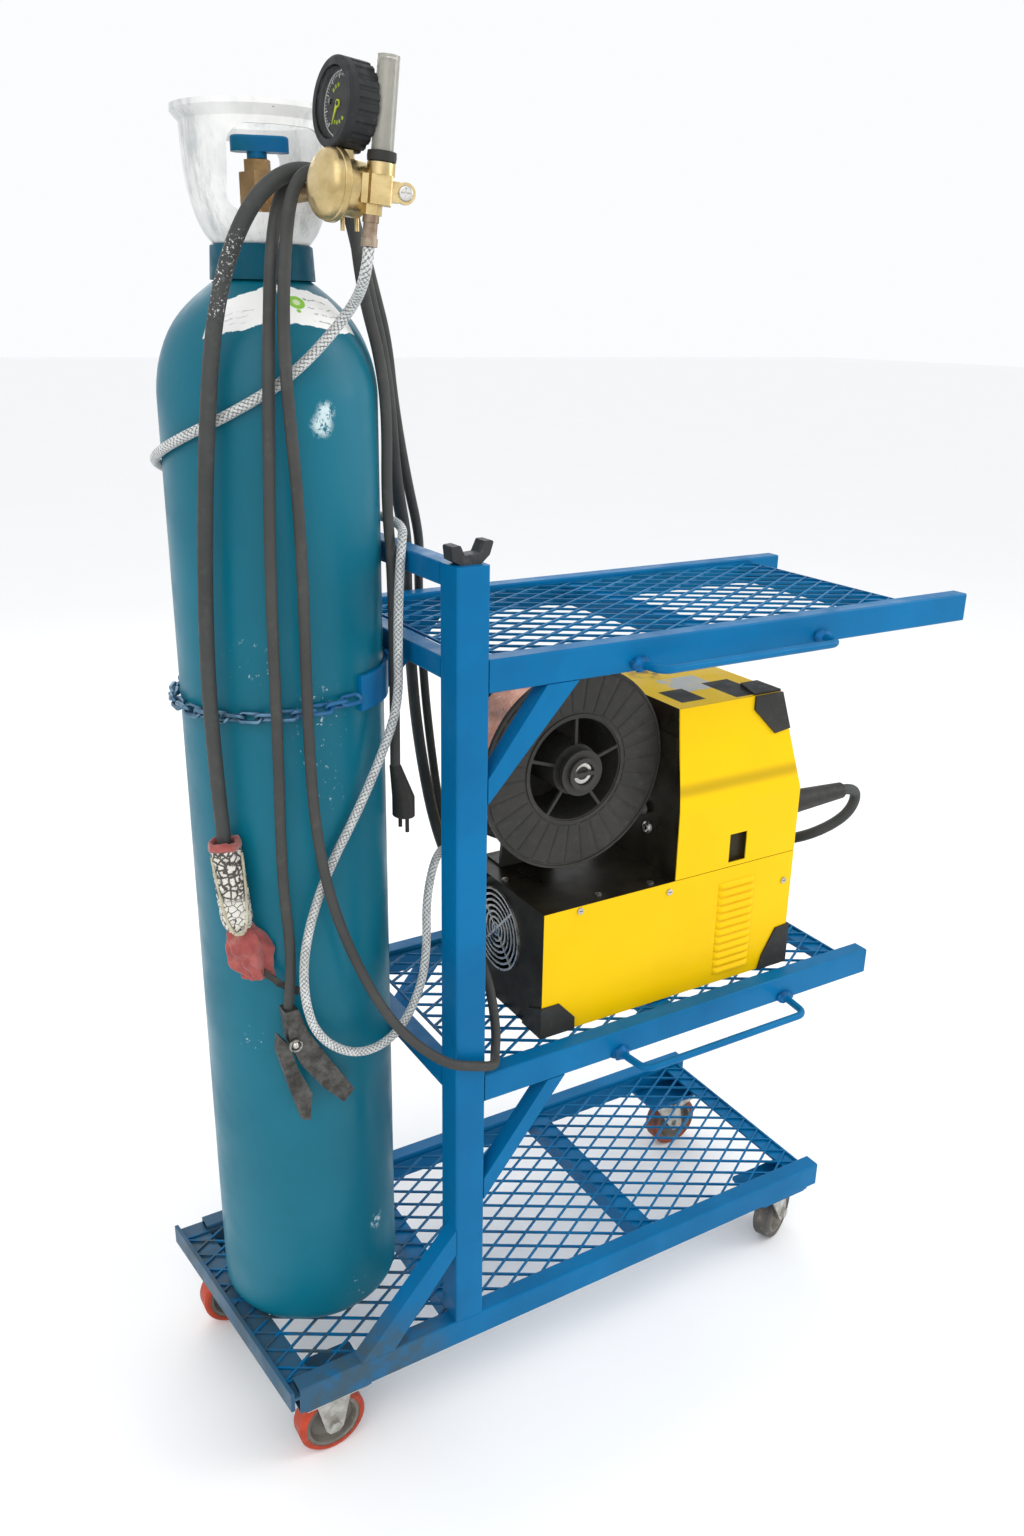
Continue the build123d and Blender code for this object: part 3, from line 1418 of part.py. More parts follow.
clamp_entry = (-446, -79, 640)
earth_points = [
    (SOCKET_END, SOCKET_Y, SOCKET_Z),
    (414, 66, 558),
    (414, 110, 545),
    (350, 132, 528),
    (240, 152, 520),
    (90, 155, 519.6),
    (-40, 150, 540),
    (-104, 170, 640),
    (-121, 198, 838),
    (-115, 233, 978),
    (-116, 236, 1066),
    (-170, 122, 1130),
    (-220, 58, 1216),
    (-250, 26, 1300),
    (-261, 17, 1366),
    (-279, 8, 1416),
    (-298, 0, 1470),
    (-332, -32, 1508),
    (-390, -57, 1518),
    (-407, -62, 1494),
    (-422, -79, 1456),
    (-428, -79, 1400),
    (-434, -80, 1310),
    (-441, -78, 1130),
    (-441, -77, 960),
    (-445, -77, 800),
    (-437, -77, 700),
    clamp_entry,
]
save(cord(earth_points, EARTH_D), "earth_lead")

mains_points = [
    (W_REAR - 14, GLAND_Y, GLAND_Z),
    (-152, 72, 651),
    (-168, 30, 646),
    (-180, -40, 642),
    (-187, -95, 606),
    (-190, -118, 552),
    (-206, -142, 534),
    (-219, -165, 537),
    (-248, -164, 546),
    (-286, -162, 560),
    (-330, -126, 600),
    (-364, -104, 672),
    (-396, -96, 770),
    (-410, -92, 870),
    (-411, -88, 990),
    (-409, -88, 1190),
    (-420, -91, 1340),
    (-418, -91, 1410),
    (-412, -92, 1468),
    (-404, -92, 1500),
    (-390, -92, 1515),
    (-366, -91, 1514),
    (-340, -80, 1492),
    (-326, -56, 1450),
    (-310, -36, 1405),
    (-290, -27, 1350),
    (-280, -21, 1290),
    (-279.5, -14, 1200),
    (-277, -20, 1130),
    (-276, -20, 1010),
    (-277, -20, 890),
]
save(cord(mains_points, MAINS_D), "mains_lead")

with BuildPart() as mains_plug:
    with BuildSketch(Plane.XY.offset(890)):
        with Locations((-277, -20)):
            Circle(7)
    with BuildSketch(Plane.XY.offset(850)):
        with Locations((-268, -22)):
            Ellipse(13, 16)
    loft()
    with BuildSketch(Plane.XY.offset(850)):
        with Locations((-268, -22)):
            Ellipse(13, 16)
    extrude(amount=-24)
    with BuildSketch(Plane.XY.offset(826)):
        with Locations((-268, -31.5), (-268, -12.5)):
            Circle(2.4)
    extrude(amount=-19)
save(mains_plug.part, "mains_plug")

hose_start = flow_plane.origin + flow_plane.x_dir * -4 + flow_plane.z_dir * BARB_END
hose_points = [
    tuple(hose_start),
    tuple(hose_start - flow_plane.z_dir * 24),
    (-348, -88, 1394),
    (-405, -75.6, 1334),
    (-462, -51.4, 1298),
    (-497, -10, 1275),
    (-510.5, 40, 1256),
    (-503, 96, 1240),
    (-468, 143, 1222),
    (-416, 170.5, 1207),
    (-360, 171, 1196),
    (-306, 145.5, 1187),
    (-272, 101, 1180),
    (-260.5, 50, 1174),
    (-255, -6, 1170),
    (-275, -41, 1156),
    (-283, -47, 1090),
    (-286, -51, 1030),
    (-288, -55, 985),
    (-304, -62, 944),
    (-346, -74, 872),
    (-396, -80, 796),
    (-427, -88, 720),
    (-433, -96, 655),
    (-418, -98, 600),
    (-370, -98, 562),
    (-316, -92, 568),
    (-276, -80, 616),
    (-262, -70, 668),
    (-256, -56, 726),
    (-222, -20, 768),
    (-172, 34, 740),
    (-150, 48, 690),
    (W_REAR - 18, GAS_IN_Y, GAS_IN_Z),
]
save(cord(hose_points, HOSE_D), "gas_hose")

CLAMP_Y = -80.0
CLAMP_T = 20.0
with BuildPart() as clamp_body:
    with BuildSketch(Plane.XZ.offset(-CLAMP_Y + CLAMP_T / 2)):
        Polygon(
            (-454, 642), (-438, 642), (-428, 610), (-400, 560), (-372, 512),
            (-386, 498), (-412, 528), (-438, 568), (-450, 600), align=None,
        )
    extrude(amount=-CLAMP_T)
    with BuildSketch(Plane.XZ.offset(-CLAMP_Y + CLAMP_T / 2 - 4)):
        Polygon(
            (-446, 604), (-432, 604), (-392, 530), (-384, 506), (-412, 534), (-436, 574), align=None,
        )
    extrude(amount=-(CLAMP_T - 8), mode=Mode.SUBTRACT)
save(clamp_body.part, "clamp_body")

with BuildPart() as clamp_jaw:
    with BuildSketch(Plane.XZ.offset(-CLAMP_Y + CLAMP_T / 2 - 5)):
        Polygon(
            (-462, 612), (-450, 596), (-440, 560), (-424, 520), (-428, 484),
            (-438, 488), (-452, 540), (-464, 590), align=None,
        )
    extrude(amount=-(CLAMP_T - 10))
save(clamp_jaw.part, "clamp_jaw")
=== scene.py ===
"""Looks of a welding cart: blue steel shelves, a gas cylinder, a wire welder, and their leads."""

import math

import bmesh
import bpy
from mathutils import Matrix, Vector, noise


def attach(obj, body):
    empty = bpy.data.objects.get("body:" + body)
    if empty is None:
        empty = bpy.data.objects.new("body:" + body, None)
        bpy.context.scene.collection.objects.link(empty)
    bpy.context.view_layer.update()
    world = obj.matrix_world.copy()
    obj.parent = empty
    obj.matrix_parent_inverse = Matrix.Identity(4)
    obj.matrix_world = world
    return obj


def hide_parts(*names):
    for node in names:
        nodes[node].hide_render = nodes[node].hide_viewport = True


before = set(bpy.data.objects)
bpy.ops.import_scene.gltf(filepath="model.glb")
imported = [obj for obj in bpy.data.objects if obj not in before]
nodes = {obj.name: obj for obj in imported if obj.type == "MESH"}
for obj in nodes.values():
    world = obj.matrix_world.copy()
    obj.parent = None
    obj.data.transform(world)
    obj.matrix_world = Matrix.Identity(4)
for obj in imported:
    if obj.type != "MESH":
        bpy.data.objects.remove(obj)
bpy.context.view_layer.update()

scene = bpy.context.scene

# ------------------------------------------------------------------------- camera
CAMERA_PLACE = Vector((-0.8605, -1.2493, 1.3907))
CAMERA_YAW = math.radians(31.24)
CAMERA_PITCH = math.radians(20.32)
CAMERA_ROLL = math.radians(1.05)
LENS = 28.48


def add_camera():
    """Camera at eye height, looking down along the cart from its cylinder end."""
    data = bpy.data.cameras.new("camera")
    data.lens = LENS
    data.sensor_width = 36.0
    camera = bpy.data.objects.new("camera", data)
    scene.collection.objects.link(camera)
    level = math.cos(CAMERA_PITCH)
    ahead = Vector(
        (math.sin(CAMERA_YAW) * level, math.cos(CAMERA_YAW) * level, -math.sin(CAMERA_PITCH))
    )
    right = Vector((math.cos(CAMERA_YAW), -math.sin(CAMERA_YAW), 0))
    up = right.cross(ahead)
    c, s = math.cos(CAMERA_ROLL), math.sin(CAMERA_ROLL)
    rolled_right = right * c + up * s
    rolled_up = up * c - right * s
    turn = Matrix((rolled_right, rolled_up, -ahead)).transposed().to_4x4()
    camera.matrix_world = Matrix.Translation(CAMERA_PLACE) @ turn
    scene.camera = camera


add_camera()

# ---------------------------------------------------------------- places on the cart
CYL_X, CYL_Y = -0.386, 0.0485
W_NEAR, W_FAR = -0.1085, 0.0915
W_DECK, W_CREASE, W_TOP = 0.690, 0.786, 0.926
W_LEAN = 0.015  # how far the near side leans in between the crease and the top
W_WALL = 0.090
SPOOL_X, SPOOL_Z, SPOOL_R = -0.048, 0.859, 0.133
SPOOL_NEAR, SPOOL_FAR = -0.0635, 0.0365
RIM_R = 0.073
TORCH_D, EARTH_D, MAINS_D, HOSE_D = 0.016, 0.012, 0.012, 0.0106


# ----------------------------------------------------------------------- materials
class Finish:
    """A material being built: a Principled shader, and short ways to add nodes that drive it."""

    def __init__(self, name, rough=0.5, metal=0.0, **sockets):
        self.material = bpy.data.materials.new(name)
        self.material.use_nodes = True
        self.tree = self.material.node_tree
        self.shader = self.tree.nodes["Principled BSDF"]
        self.shader.inputs["Roughness"].default_value = rough
        self.shader.inputs["Metallic"].default_value = metal
        for socket, value in sockets.items():
            self.shader.inputs[socket.replace("_", " ")].default_value = value
        self.place = self.add("TexCoord").outputs["Object"]
        self.heights = []

    def add(self, kind, *values, **settings):
        """A node of that kind, its inputs filled in order from values: a socket is linked, None is left."""
        made = self.tree.nodes.new("ShaderNode" + kind)
        for key, value in settings.items():
            setattr(made, key, value)
        for socket, value in zip(made.inputs, values):
            if value is None:
                continue
            if isinstance(value, bpy.types.NodeSocket):
                self.tree.links.new(value, socket)
            else:
                socket.default_value = value
        return made

    def stretched(self, x, y, z):
        """Object coordinates multiplied along each axis."""
        scaled = self.add("VectorMath", self.place, (x, y, z), operation="MULTIPLY")
        return scaled.outputs[0]

    def noise(self, scale, detail=3.0, rough=0.55, where=None):
        made = self.add("TexNoise")
        made.inputs["Scale"].default_value = scale
        made.inputs["Detail"].default_value = detail
        made.inputs["Roughness"].default_value = rough
        self.tree.links.new(where or self.place, made.inputs["Vector"])
        return made.outputs[0]

    def cells(self, scale, feature="DISTANCE_TO_EDGE", where=None):
        made = self.add("TexVoronoi", feature=feature)
        made.inputs["Scale"].default_value = scale
        self.tree.links.new(where or self.place, made.inputs["Vector"])
        return made.outputs["Distance"]

    def ramp(self, value, low, high, start=0.0, end=1.0):
        """value from low to high becomes start to end, eased and clamped."""
        made = self.add("MapRange", value, low, high, start, end, interpolation_type="SMOOTHSTEP")
        return made.outputs[0]

    def math(self, operation, a, b=None):
        return self.add("Math", a, b, operation=operation).outputs[0]

    def mix(self, share, a, b):
        return self.add("MixRGB", share, rgba(a), rgba(b)).outputs[0]

    def axes(self):
        return self.add("SeparateXYZ", self.place).outputs

    def within(self, axis, low, high, soft=0.0004):
        """1 where that coordinate is between low and high."""
        value = self.axes()[axis]
        rise = self.ramp(value, low - soft, low + soft)
        fall = self.ramp(value, high - soft, high + soft, 1.0, 0.0)
        return self.math("MULTIPLY", rise, fall)

    def near(self, place, reach, soft):
        """1 inside a ball round place, fading out over soft."""
        apart = self.add("VectorMath", self.place, place, operation="DISTANCE").outputs["Value"]
        return self.ramp(apart, reach, reach + soft, 1.0, 0.0)

    def low_end(self, start, stop):
        """1 low down at the cylinder's end of the cart, fading out as x goes from start to stop."""
        x, _, z = self.axes()[:3]
        return self.all_of(self.ramp(x, start, stop, 1.0, 0.0), self.ramp(z, 0.16, 0.22, 1.0, 0.0))

    def all_of(self, *masks):
        total = masks[0]
        for mask in masks[1:]:
            total = self.math("MULTIPLY", total, mask)
        return total

    def any_of(self, *masks):
        total = masks[0]
        for mask in masks[1:]:
            total = self.math("MAXIMUM", total, mask)
        return total

    def colour(self, value):
        self.tree.links.new(value, self.shader.inputs["Base Color"])

    def rough(self, value):
        self.tree.links.new(value, self.shader.inputs["Roughness"])

    def relief(self, height, distance, strength=1.0):
        """Adds fine relief: height is 0 to 1 and distance its depth in metres."""
        bump = self.add("Bump")
        bump.inputs["Strength"].default_value = strength
        bump.inputs["Distance"].default_value = distance
        self.tree.links.new(height, bump.inputs["Height"])
        if self.heights:
            self.tree.links.new(self.heights[-1].outputs[0], bump.inputs["Normal"])
        self.heights.append(bump)
        self.tree.links.new(bump.outputs[0], self.shader.inputs["Normal"])


def rgba(colour):
    """A colour as four numbers; a socket as it is."""
    if isinstance(colour, bpy.types.NodeSocket) or len(colour) == 4:
        return colour
    return (*colour, 1.0)


def painted(name, colour, shade, rough=0.4, patch=7.0, orange_peel=0.00012, **more):
    """Paint with slow tone changes and fine orange peel."""
    more.setdefault("Specular_IOR_Level", 0.12)
    finish = Finish(name, rough, **more)
    tone = finish.ramp(finish.noise(patch, 5), 0.35, 0.65)
    base = finish.mix(tone, colour, shade)
    finish.colour(base)
    finish.rough(finish.ramp(finish.noise(patch * 4, 6), 0.3, 0.7, rough - 0.08, rough + 0.12))
    finish.relief(finish.noise(520, 2), orange_peel, 0.35)
    finish.base = base
    return finish


def metal(name, colour, shade, rough=0.32, grain=240, scratch=0.00006, patch=30.0, **more):
    """Bare or plated metal with cloudy tarnish and a fine brushed grain."""
    finish = Finish(name, rough, 1.0, **more)
    tone = finish.ramp(finish.noise(patch, 6, 0.65), 0.32, 0.68)
    base = finish.mix(tone, colour, shade)
    finish.colour(base)
    finish.rough(finish.ramp(finish.noise(patch * 3, 5), 0.3, 0.7, rough - 0.1, rough + 0.16))
    finish.relief(finish.noise(grain, 3), scratch, 0.5)
    finish.base = base
    return finish


def plastic(name, colour, shade, rough=0.5, grain=900, depth=0.00008, patch=16.0, dust=0.12, **more):
    """Moulded plastic or rubber with a fine texture and a veil of pale dust."""
    more.setdefault("Specular_IOR_Level", 0.22)
    finish = Finish(name, rough, **more)
    tone = finish.ramp(finish.noise(patch, 4), 0.3, 0.7)
    base = finish.mix(tone, colour, shade)
    veil = finish.ramp(finish.noise(patch * 5, 8, 0.7), 0.5, 0.75, 0.0, dust)
    base = finish.mix(veil, base, (0.42, 0.40, 0.36))
    finish.colour(base)
    finish.rough(finish.ramp(finish.noise(patch * 6, 3), 0.3, 0.7, rough - 0.06, rough + 0.1))
    finish.relief(finish.noise(grain, 2), depth, 0.5)
    finish.base = base
    return finish


YELLOW = (0.86, 0.545, 0.0005)
YELLOW_SHADE = (0.83, 0.51, 0.0005)
BLUE = (0.0006, 0.145, 0.345)
BLUE_SHADE = (0.0006, 0.118, 0.285)


def frame_paint():
    """Bright blue paint, dull with dust and rubbed dark on the low rails at the cylinder end."""
    finish = painted("frame_blue", BLUE, BLUE_SHADE, 0.36, 6.0, 0.00012)
    base = finish.base
    grime = finish.ramp(finish.noise(22, 8, 0.7), 0.35, 0.62)
    dirty = finish.all_of(finish.low_end(-0.34, -0.24), finish.ramp(grime, 0.0, 1.0, 0.35, 0.95))
    dirty = finish.any_of(dirty, finish.math("MULTIPLY", finish.low_end(-0.47, -0.40), 0.75))
    base = finish.mix(dirty, base, (0.045, 0.085, 0.115))
    chips = finish.ramp(finish.noise(70, 9, 0.75), 0.705, 0.735)
    base = finish.mix(finish.math("MULTIPLY", chips, 0.3), base, (0.02, 0.045, 0.075))
    finish.colour(base)
    finish.relief(finish.noise(60, 5, 0.6), 0.0004, 0.2)
    return finish.material


def mesh_paint():
    """The same blue on the expanded mesh, a little duller where things are stood on it."""
    finish = painted("mesh_blue", (0.001, 0.135, 0.315), (0.001, 0.10, 0.24), 0.42, 9.0, 0.0002)
    base = finish.base
    worn = finish.ramp(finish.noise(45, 8, 0.7), 0.42, 0.6)
    base = finish.mix(finish.all_of(finish.low_end(-0.40, -0.1), worn), base, (0.05, 0.085, 0.11))
    rubbed = finish.ramp(finish.noise(34, 8, 0.75), 0.64, 0.72, 0.0, 0.6)
    base = finish.mix(rubbed, base, (0.10, 0.18, 0.25))
    finish.colour(base)
    return finish.material


def cylinder_paint():
    """Teal enamel with soft wavy reflections, scratches, chips, and a paper band on the shoulder."""
    teal, teal_shade = (0.0008, 0.145, 0.215), (0.0008, 0.120, 0.178)
    finish = painted("cylinder_teal", teal, teal_shade, 0.36, 3.0, 0.00005, Specular_IOR_Level=0.24)
    base = finish.base
    x, y, z = finish.axes()[:3]
    stains = finish.ramp(finish.noise(9, 8, 0.7, finish.stretched(1, 1, 0.35)), 0.55, 0.8, 0.0, 0.3)
    base = finish.mix(stains, base, (0.012, 0.075, 0.10))
    fleck = finish.noise(120, 9, 0.75)
    for place, reach, share in SCUFFS:
        spot = finish.all_of(finish.near(place, reach * 0.35, reach), finish.ramp(fleck, share, share + 0.05))
        base = finish.mix(spot, base, (0.55, 0.68, 0.70))
    specks = finish.ramp(finish.noise(210, 9, 0.8), 0.735, 0.76)
    base = finish.mix(finish.math("MULTIPLY", specks, 0.55), base, (0.35, 0.5, 0.53))
    bearing = finish.math("ARCTAN2", finish.math("SUBTRACT", y, CYL_Y), finish.math("SUBTRACT", x, CYL_X))
    ragged = finish.math("MULTIPLY", finish.math("SUBTRACT", finish.noise(60, 6), 0.5), 0.012)
    height = finish.math("ADD", z, ragged)
    broken = finish.ramp(finish.noise(150, 3), 0.42, 0.5)
    for low, high, start, end, (held_at, rise), tint in LABELS:
        climb = finish.math("MULTIPLY", finish.math("SUBTRACT", bearing, held_at), rise)
        leaned = finish.math("SUBTRACT", height, climb)
        band = finish.all_of(
            finish.ramp(leaned, low - 0.0004, low + 0.0004),
            finish.ramp(leaned, high - 0.0004, high + 0.0004, 1.0, 0.0),
            finish.ramp(bearing, start - 0.012, start + 0.012),
            finish.ramp(bearing, end - 0.012, end + 0.012, 1.0, 0.0),
        )
        if tint is not PAPER:
            band = finish.math("MULTIPLY", band, broken)
        base = finish.mix(band, base, tint)
    mark = finish.any_of(finish.near(MARK, 0.0085, 0.0008), finish.near(MARK_FOOT, 0.004, 0.001))
    base = finish.mix(mark, base, (0.25, 0.55, 0.06))
    base = finish.mix(finish.near(MARK, 0.0035, 0.001), base, (0.62, 0.74, 0.45))
    finish.colour(base)
    finish.relief(finish.noise(9, 2), 0.0005, 0.2)
    return finish.material


# Round green mark on the right-hand slip, and the small one below it.
MARK = Vector((-0.3800, -0.0260, 1.4010))
MARK_FOOT = Vector((-0.3810, -0.0320, 1.3910))
# Scuffs on the cylinder wall: a place, how far they reach, and how thick the flecks are (lower is thicker).
SCUFFS = [
    ((-0.3738, -0.0667, 1.2865), 0.012, 0.46),
    ((-0.3690, -0.0662, 1.2990), 0.010, 0.44),
    ((-0.4556, -0.0442, 1.0420), 0.028, 0.60),
    ((-0.3802, -0.0673, 0.9852), 0.032, 0.585),
    ((-0.3921, -0.0673, 0.9491), 0.030, 0.60),
    ((-0.3848, -0.0674, 0.8950), 0.024, 0.60),
    ((-0.3326, -0.0544, 0.2715), 0.012, 0.50),
    ((-0.3708, -0.0664, 0.1823), 0.020, 0.60),
    ((-0.4737, -0.0272, 0.5772), 0.020, 0.60),
]
PAPER = (0.90, 0.90, 0.88)
# Each slip leans: the bearing where its z holds, and its rise per radian.
LEFT_SLIP, RIGHT_SLIP = (-2.25, 0.024), (-1.50, -0.012)
FAINT, DARKER = (0.50, 0.51, 0.50), (0.34, 0.36, 0.33)
FAINT_RULES = [(1.380, -2.06), (1.385, -2.10), (1.390, -2.02)]
DARKER_RULES = [(1.386, -0.95), (1.3925, -0.92), (1.399, -0.98), (1.406, -1.02)]
# Bands of the paper label: lowest and highest z, first and last bearing, lean, colour.
LABELS = [
    (1.3735, 1.4085, -2.56, -1.93, LEFT_SLIP, PAPER),
    (1.3800, 1.4160, -1.72, -0.80, RIGHT_SLIP, PAPER),
    *((z, z + 0.0006, -2.48, last, LEFT_SLIP, FAINT) for z, last in FAINT_RULES),
    *((z, z + 0.0011, -1.36, last, RIGHT_SLIP, DARKER) for z, last in DARKER_RULES),
]


def welder_paint(name, is_cover):
    """Yellow powder coat outside and near-black inside, told apart by place on the housing."""
    finish = painted(name, YELLOW, YELLOW_SHADE, 0.34, 5.0, 0.0001)
    base = finish.base
    dust = finish.ramp(finish.noise(55, 8, 0.72), 0.66, 0.78, 0.0, 0.25)
    base = finish.mix(dust, base, (0.60, 0.42, 0.05))
    cloudy = finish.ramp(finish.noise(30, 7, 0.65), 0.35, 0.7)
    black = finish.mix(cloudy, (0.010, 0.009, 0.006), (0.022, 0.019, 0.011))
    if is_cover:
        wall = finish.within(0, W_WALL - 0.01, W_WALL + 0.0005)
        dark = finish.any_of(wall, finish.ramp(finish.axes()[2], W_DECK + 0.0005, W_DECK + 0.0015, 1.0, 0.0))
        on_top = finish.ramp(finish.axes()[2], W_TOP - 0.0008, W_TOP - 0.0004)
        for low_x, high_x, low_y, high_y in TOP_BLOCKS:
            patch = finish.all_of(on_top, finish.within(0, low_x, high_x), finish.within(1, low_y, high_y))
            dark = finish.any_of(dark, patch)
        slip_x = finish.within(0, 0.140, 0.205, 0.002)
        slip = finish.all_of(on_top, slip_x, finish.within(1, -0.036, 0.026, 0.002))
        torn = finish.all_of(slip, finish.ramp(finish.noise(40, 7, 0.7), 0.38, 0.46))
        base = finish.mix(torn, base, (0.50, 0.50, 0.46))
        spilt = finish.ramp(finish.noise(30, 8), 0.45, 0.6)
        stain = finish.all_of(on_top, finish.near((0.152, 0.060, W_TOP), 0.012, 0.022), spilt)
        base = finish.mix(stain, base, (0.25, 0.13, 0.03))
    else:
        near_side = finish.ramp(finish.axes()[1], W_NEAR + 0.0004, W_NEAR + 0.0008, 1.0, 0.0)
        far_side = finish.ramp(finish.axes()[1], W_FAR - 0.0008, W_FAR - 0.0004)
        dark = finish.math("SUBTRACT", 1.0, finish.any_of(near_side, far_side))
    finish.colour(finish.mix(dark, base, black))
    return finish.material


def door_paint():
    """Yellow outside; the latch pocket and the door's back are near black."""
    finish = painted("door_yellow", YELLOW, YELLOW_SHADE, 0.34, 5.0, 0.0001)
    base = finish.base
    _, y, z = finish.axes()[:3]
    behind = finish.math("SUBTRACT", y, finish.ramp(z, W_CREASE, W_TOP, 0.0, W_LEAN))
    dark = finish.ramp(behind, W_NEAR + 0.0012, W_NEAR + 0.0018)
    finish.colour(finish.mix(dark, base, (0.030, 0.024, 0.010)))
    return finish.material


# Dark rubber blocks on the housing's top: lowest and highest x, lowest and highest y.
TOP_BLOCKS = [
    (0.110, 0.150, -0.072, -0.020),
    (0.190, 0.236, -0.086, -0.012),
]


def rubber_lead(name, colour, shade, specks):
    """Matt black lead sheath, chalky with age, with pale paint specks at the places given."""
    finish = plastic(name, colour, shade, 0.55, 700, 0.0001, 12.0, 0.05)
    base = finish.base
    splash = finish.noise(330, 6, 0.7)
    for place, reach in specks:
        spot = finish.all_of(finish.near(place, reach * 0.5, reach), finish.ramp(splash, 0.58, 0.62))
        base = finish.mix(spot, base, (0.75, 0.76, 0.76))
    scuff = finish.ramp(finish.noise(60, 8, 0.75), 0.66, 0.76, 0.0, 0.18)
    finish.colour(finish.mix(scuff, base, (0.28, 0.28, 0.27)))
    return finish.material


def braided(name):
    """Grey braided hose: pale yarn on top, painted shade in the gaps between the yarns, from the mesh's own
    weave heights.
    """
    finish = Finish(name, 0.7, Sheen_Weight=0.2)
    weave = finish.add("Attribute", attribute_name="weave").outputs["Fac"]
    yarn = finish.mix(finish.noise(600, 4), (0.56, 0.58, 0.57), (0.70, 0.72, 0.71))
    soiled = finish.mix(finish.ramp(finish.noise(18, 6), 0.4, 0.7, 0.0, 0.35), yarn, (0.30, 0.29, 0.26))
    # Painted shade: the low parts of the weave are coloured near black, where shade falls between the yarns.
    finish.colour(finish.mix(finish.ramp(weave, 0.25, 0.85), (0.11, 0.115, 0.11), soiled))
    finish.relief(finish.noise(2600, 2), 0.00008, 0.6)
    return finish.material


def cloth_finish(name, colour, shade, soil):
    """Dusty woven cloth with a visible thread and soil in its folds."""
    finish = Finish(name, 0.9, Sheen_Weight=0.35)
    across = finish.add("TexWave", finish.place, 420.0, 1.5, bands_direction="X").outputs["Fac"]
    along = finish.add("TexWave", finish.place, 420.0, 1.5, bands_direction="Z").outputs["Fac"]
    thread = finish.math("MULTIPLY", across, along)
    base = finish.mix(finish.ramp(finish.noise(60, 7), 0.3, 0.7), colour, shade)
    base = finish.mix(finish.ramp(finish.noise(38, 8, 0.7), 0.5, 0.7, 0.0, 0.7), base, soil)
    finish.colour(finish.mix(finish.ramp(thread, 0.1, 0.7, 0.35, 0.0), base, shade))
    finish.relief(thread, 0.0003, 0.5)
    return finish.material


def mottled(name):
    """Glass-cloth sleeve: white flakes over black gaps."""
    finish = Finish(name, 0.8)
    gaps = finish.cells(125)
    flake = finish.ramp(gaps, 0.06, 0.17)
    missing = finish.ramp(finish.noise(120, 5), 0.56, 0.6, 1.0, 0.0)
    pale = finish.mix(finish.noise(150, 5), (0.80, 0.78, 0.72), (0.55, 0.53, 0.46))
    dark = finish.mix(finish.noise(90, 4), (0.03, 0.028, 0.025), (0.10, 0.09, 0.08))
    lower = finish.ramp(finish.axes()[2], 0.775, 0.785, 1.0, 0.0)
    whole = finish.any_of(finish.all_of(flake, missing), finish.all_of(lower, finish.ramp(gaps, 0.02, 0.06)))
    finish.colour(finish.mix(whole, dark, pale))
    finish.relief(whole, 0.0008, 0.8)
    return finish.material


def clear(name, tint, rough, through=1.0, **more):
    """Clear plastic, faintly tinted and scuffed."""
    more.setdefault("IOR", 1.45)
    finish = Finish(name, rough, Transmission_Weight=through, **more)
    scuffed = tuple(0.93 * part for part in tint)
    finish.colour(finish.mix(finish.ramp(finish.noise(90, 6), 0.45, 0.75), tint, scuffed))
    finish.relief(finish.noise(160, 3), 0.0001, 0.3)
    return finish.material


def dial_face(name):
    """Matt black dial."""
    finish = Finish(name, 0.6)
    finish.colour(finish.mix(finish.noise(120, 3), (0.012, 0.013, 0.013), (0.03, 0.03, 0.028)))
    return finish.material


def guard_paint():
    """White enamel on the guard, rubbed through to grey and streaked."""
    finish = painted("guard_white", (0.84, 0.84, 0.82), (0.66, 0.67, 0.66), 0.45, 16.0, 0.0003)
    base = finish.base
    streaks = finish.ramp(finish.noise(22, 9, 0.75, finish.stretched(1, 1, 0.25)), 0.48, 0.66, 0.0, 0.7)
    base = finish.mix(streaks, base, (0.34, 0.36, 0.36))
    chips = finish.ramp(finish.noise(75, 9, 0.75), 0.66, 0.69, 0.0, 0.8)
    base = finish.mix(chips, base, (0.28, 0.27, 0.24))
    finish.colour(base)
    finish.relief(finish.noise(46, 7, 0.7), 0.0011, 0.5)
    return finish.material


def chain_finish():
    """Chain links: pale galvanised on the open side, blue overspray near the post."""
    finish = metal("chain_steel", (0.16, 0.28, 0.38), (0.08, 0.16, 0.24), 0.42, 260, 0.0001, 40.0)
    base = finish.base
    side = finish.ramp(finish.axes()[0], -0.47, -0.38)
    patchy = finish.math("MULTIPLY", side, finish.ramp(finish.noise(60, 6), 0.3, 0.5, 0.6, 1.0))
    finish.colour(finish.mix(patchy, base, (0.004, 0.11, 0.27)))
    finish.tree.links.new(finish.math("SUBTRACT", 1.0, patchy), finish.shader.inputs["Metallic"])
    return finish.material


TORCH_SPECKS = [
    ((-0.458, -0.060, 1.452), 0.016),
    ((-0.468, -0.058, 1.425), 0.014),
    ((-0.474, -0.055, 1.398), 0.012),
]

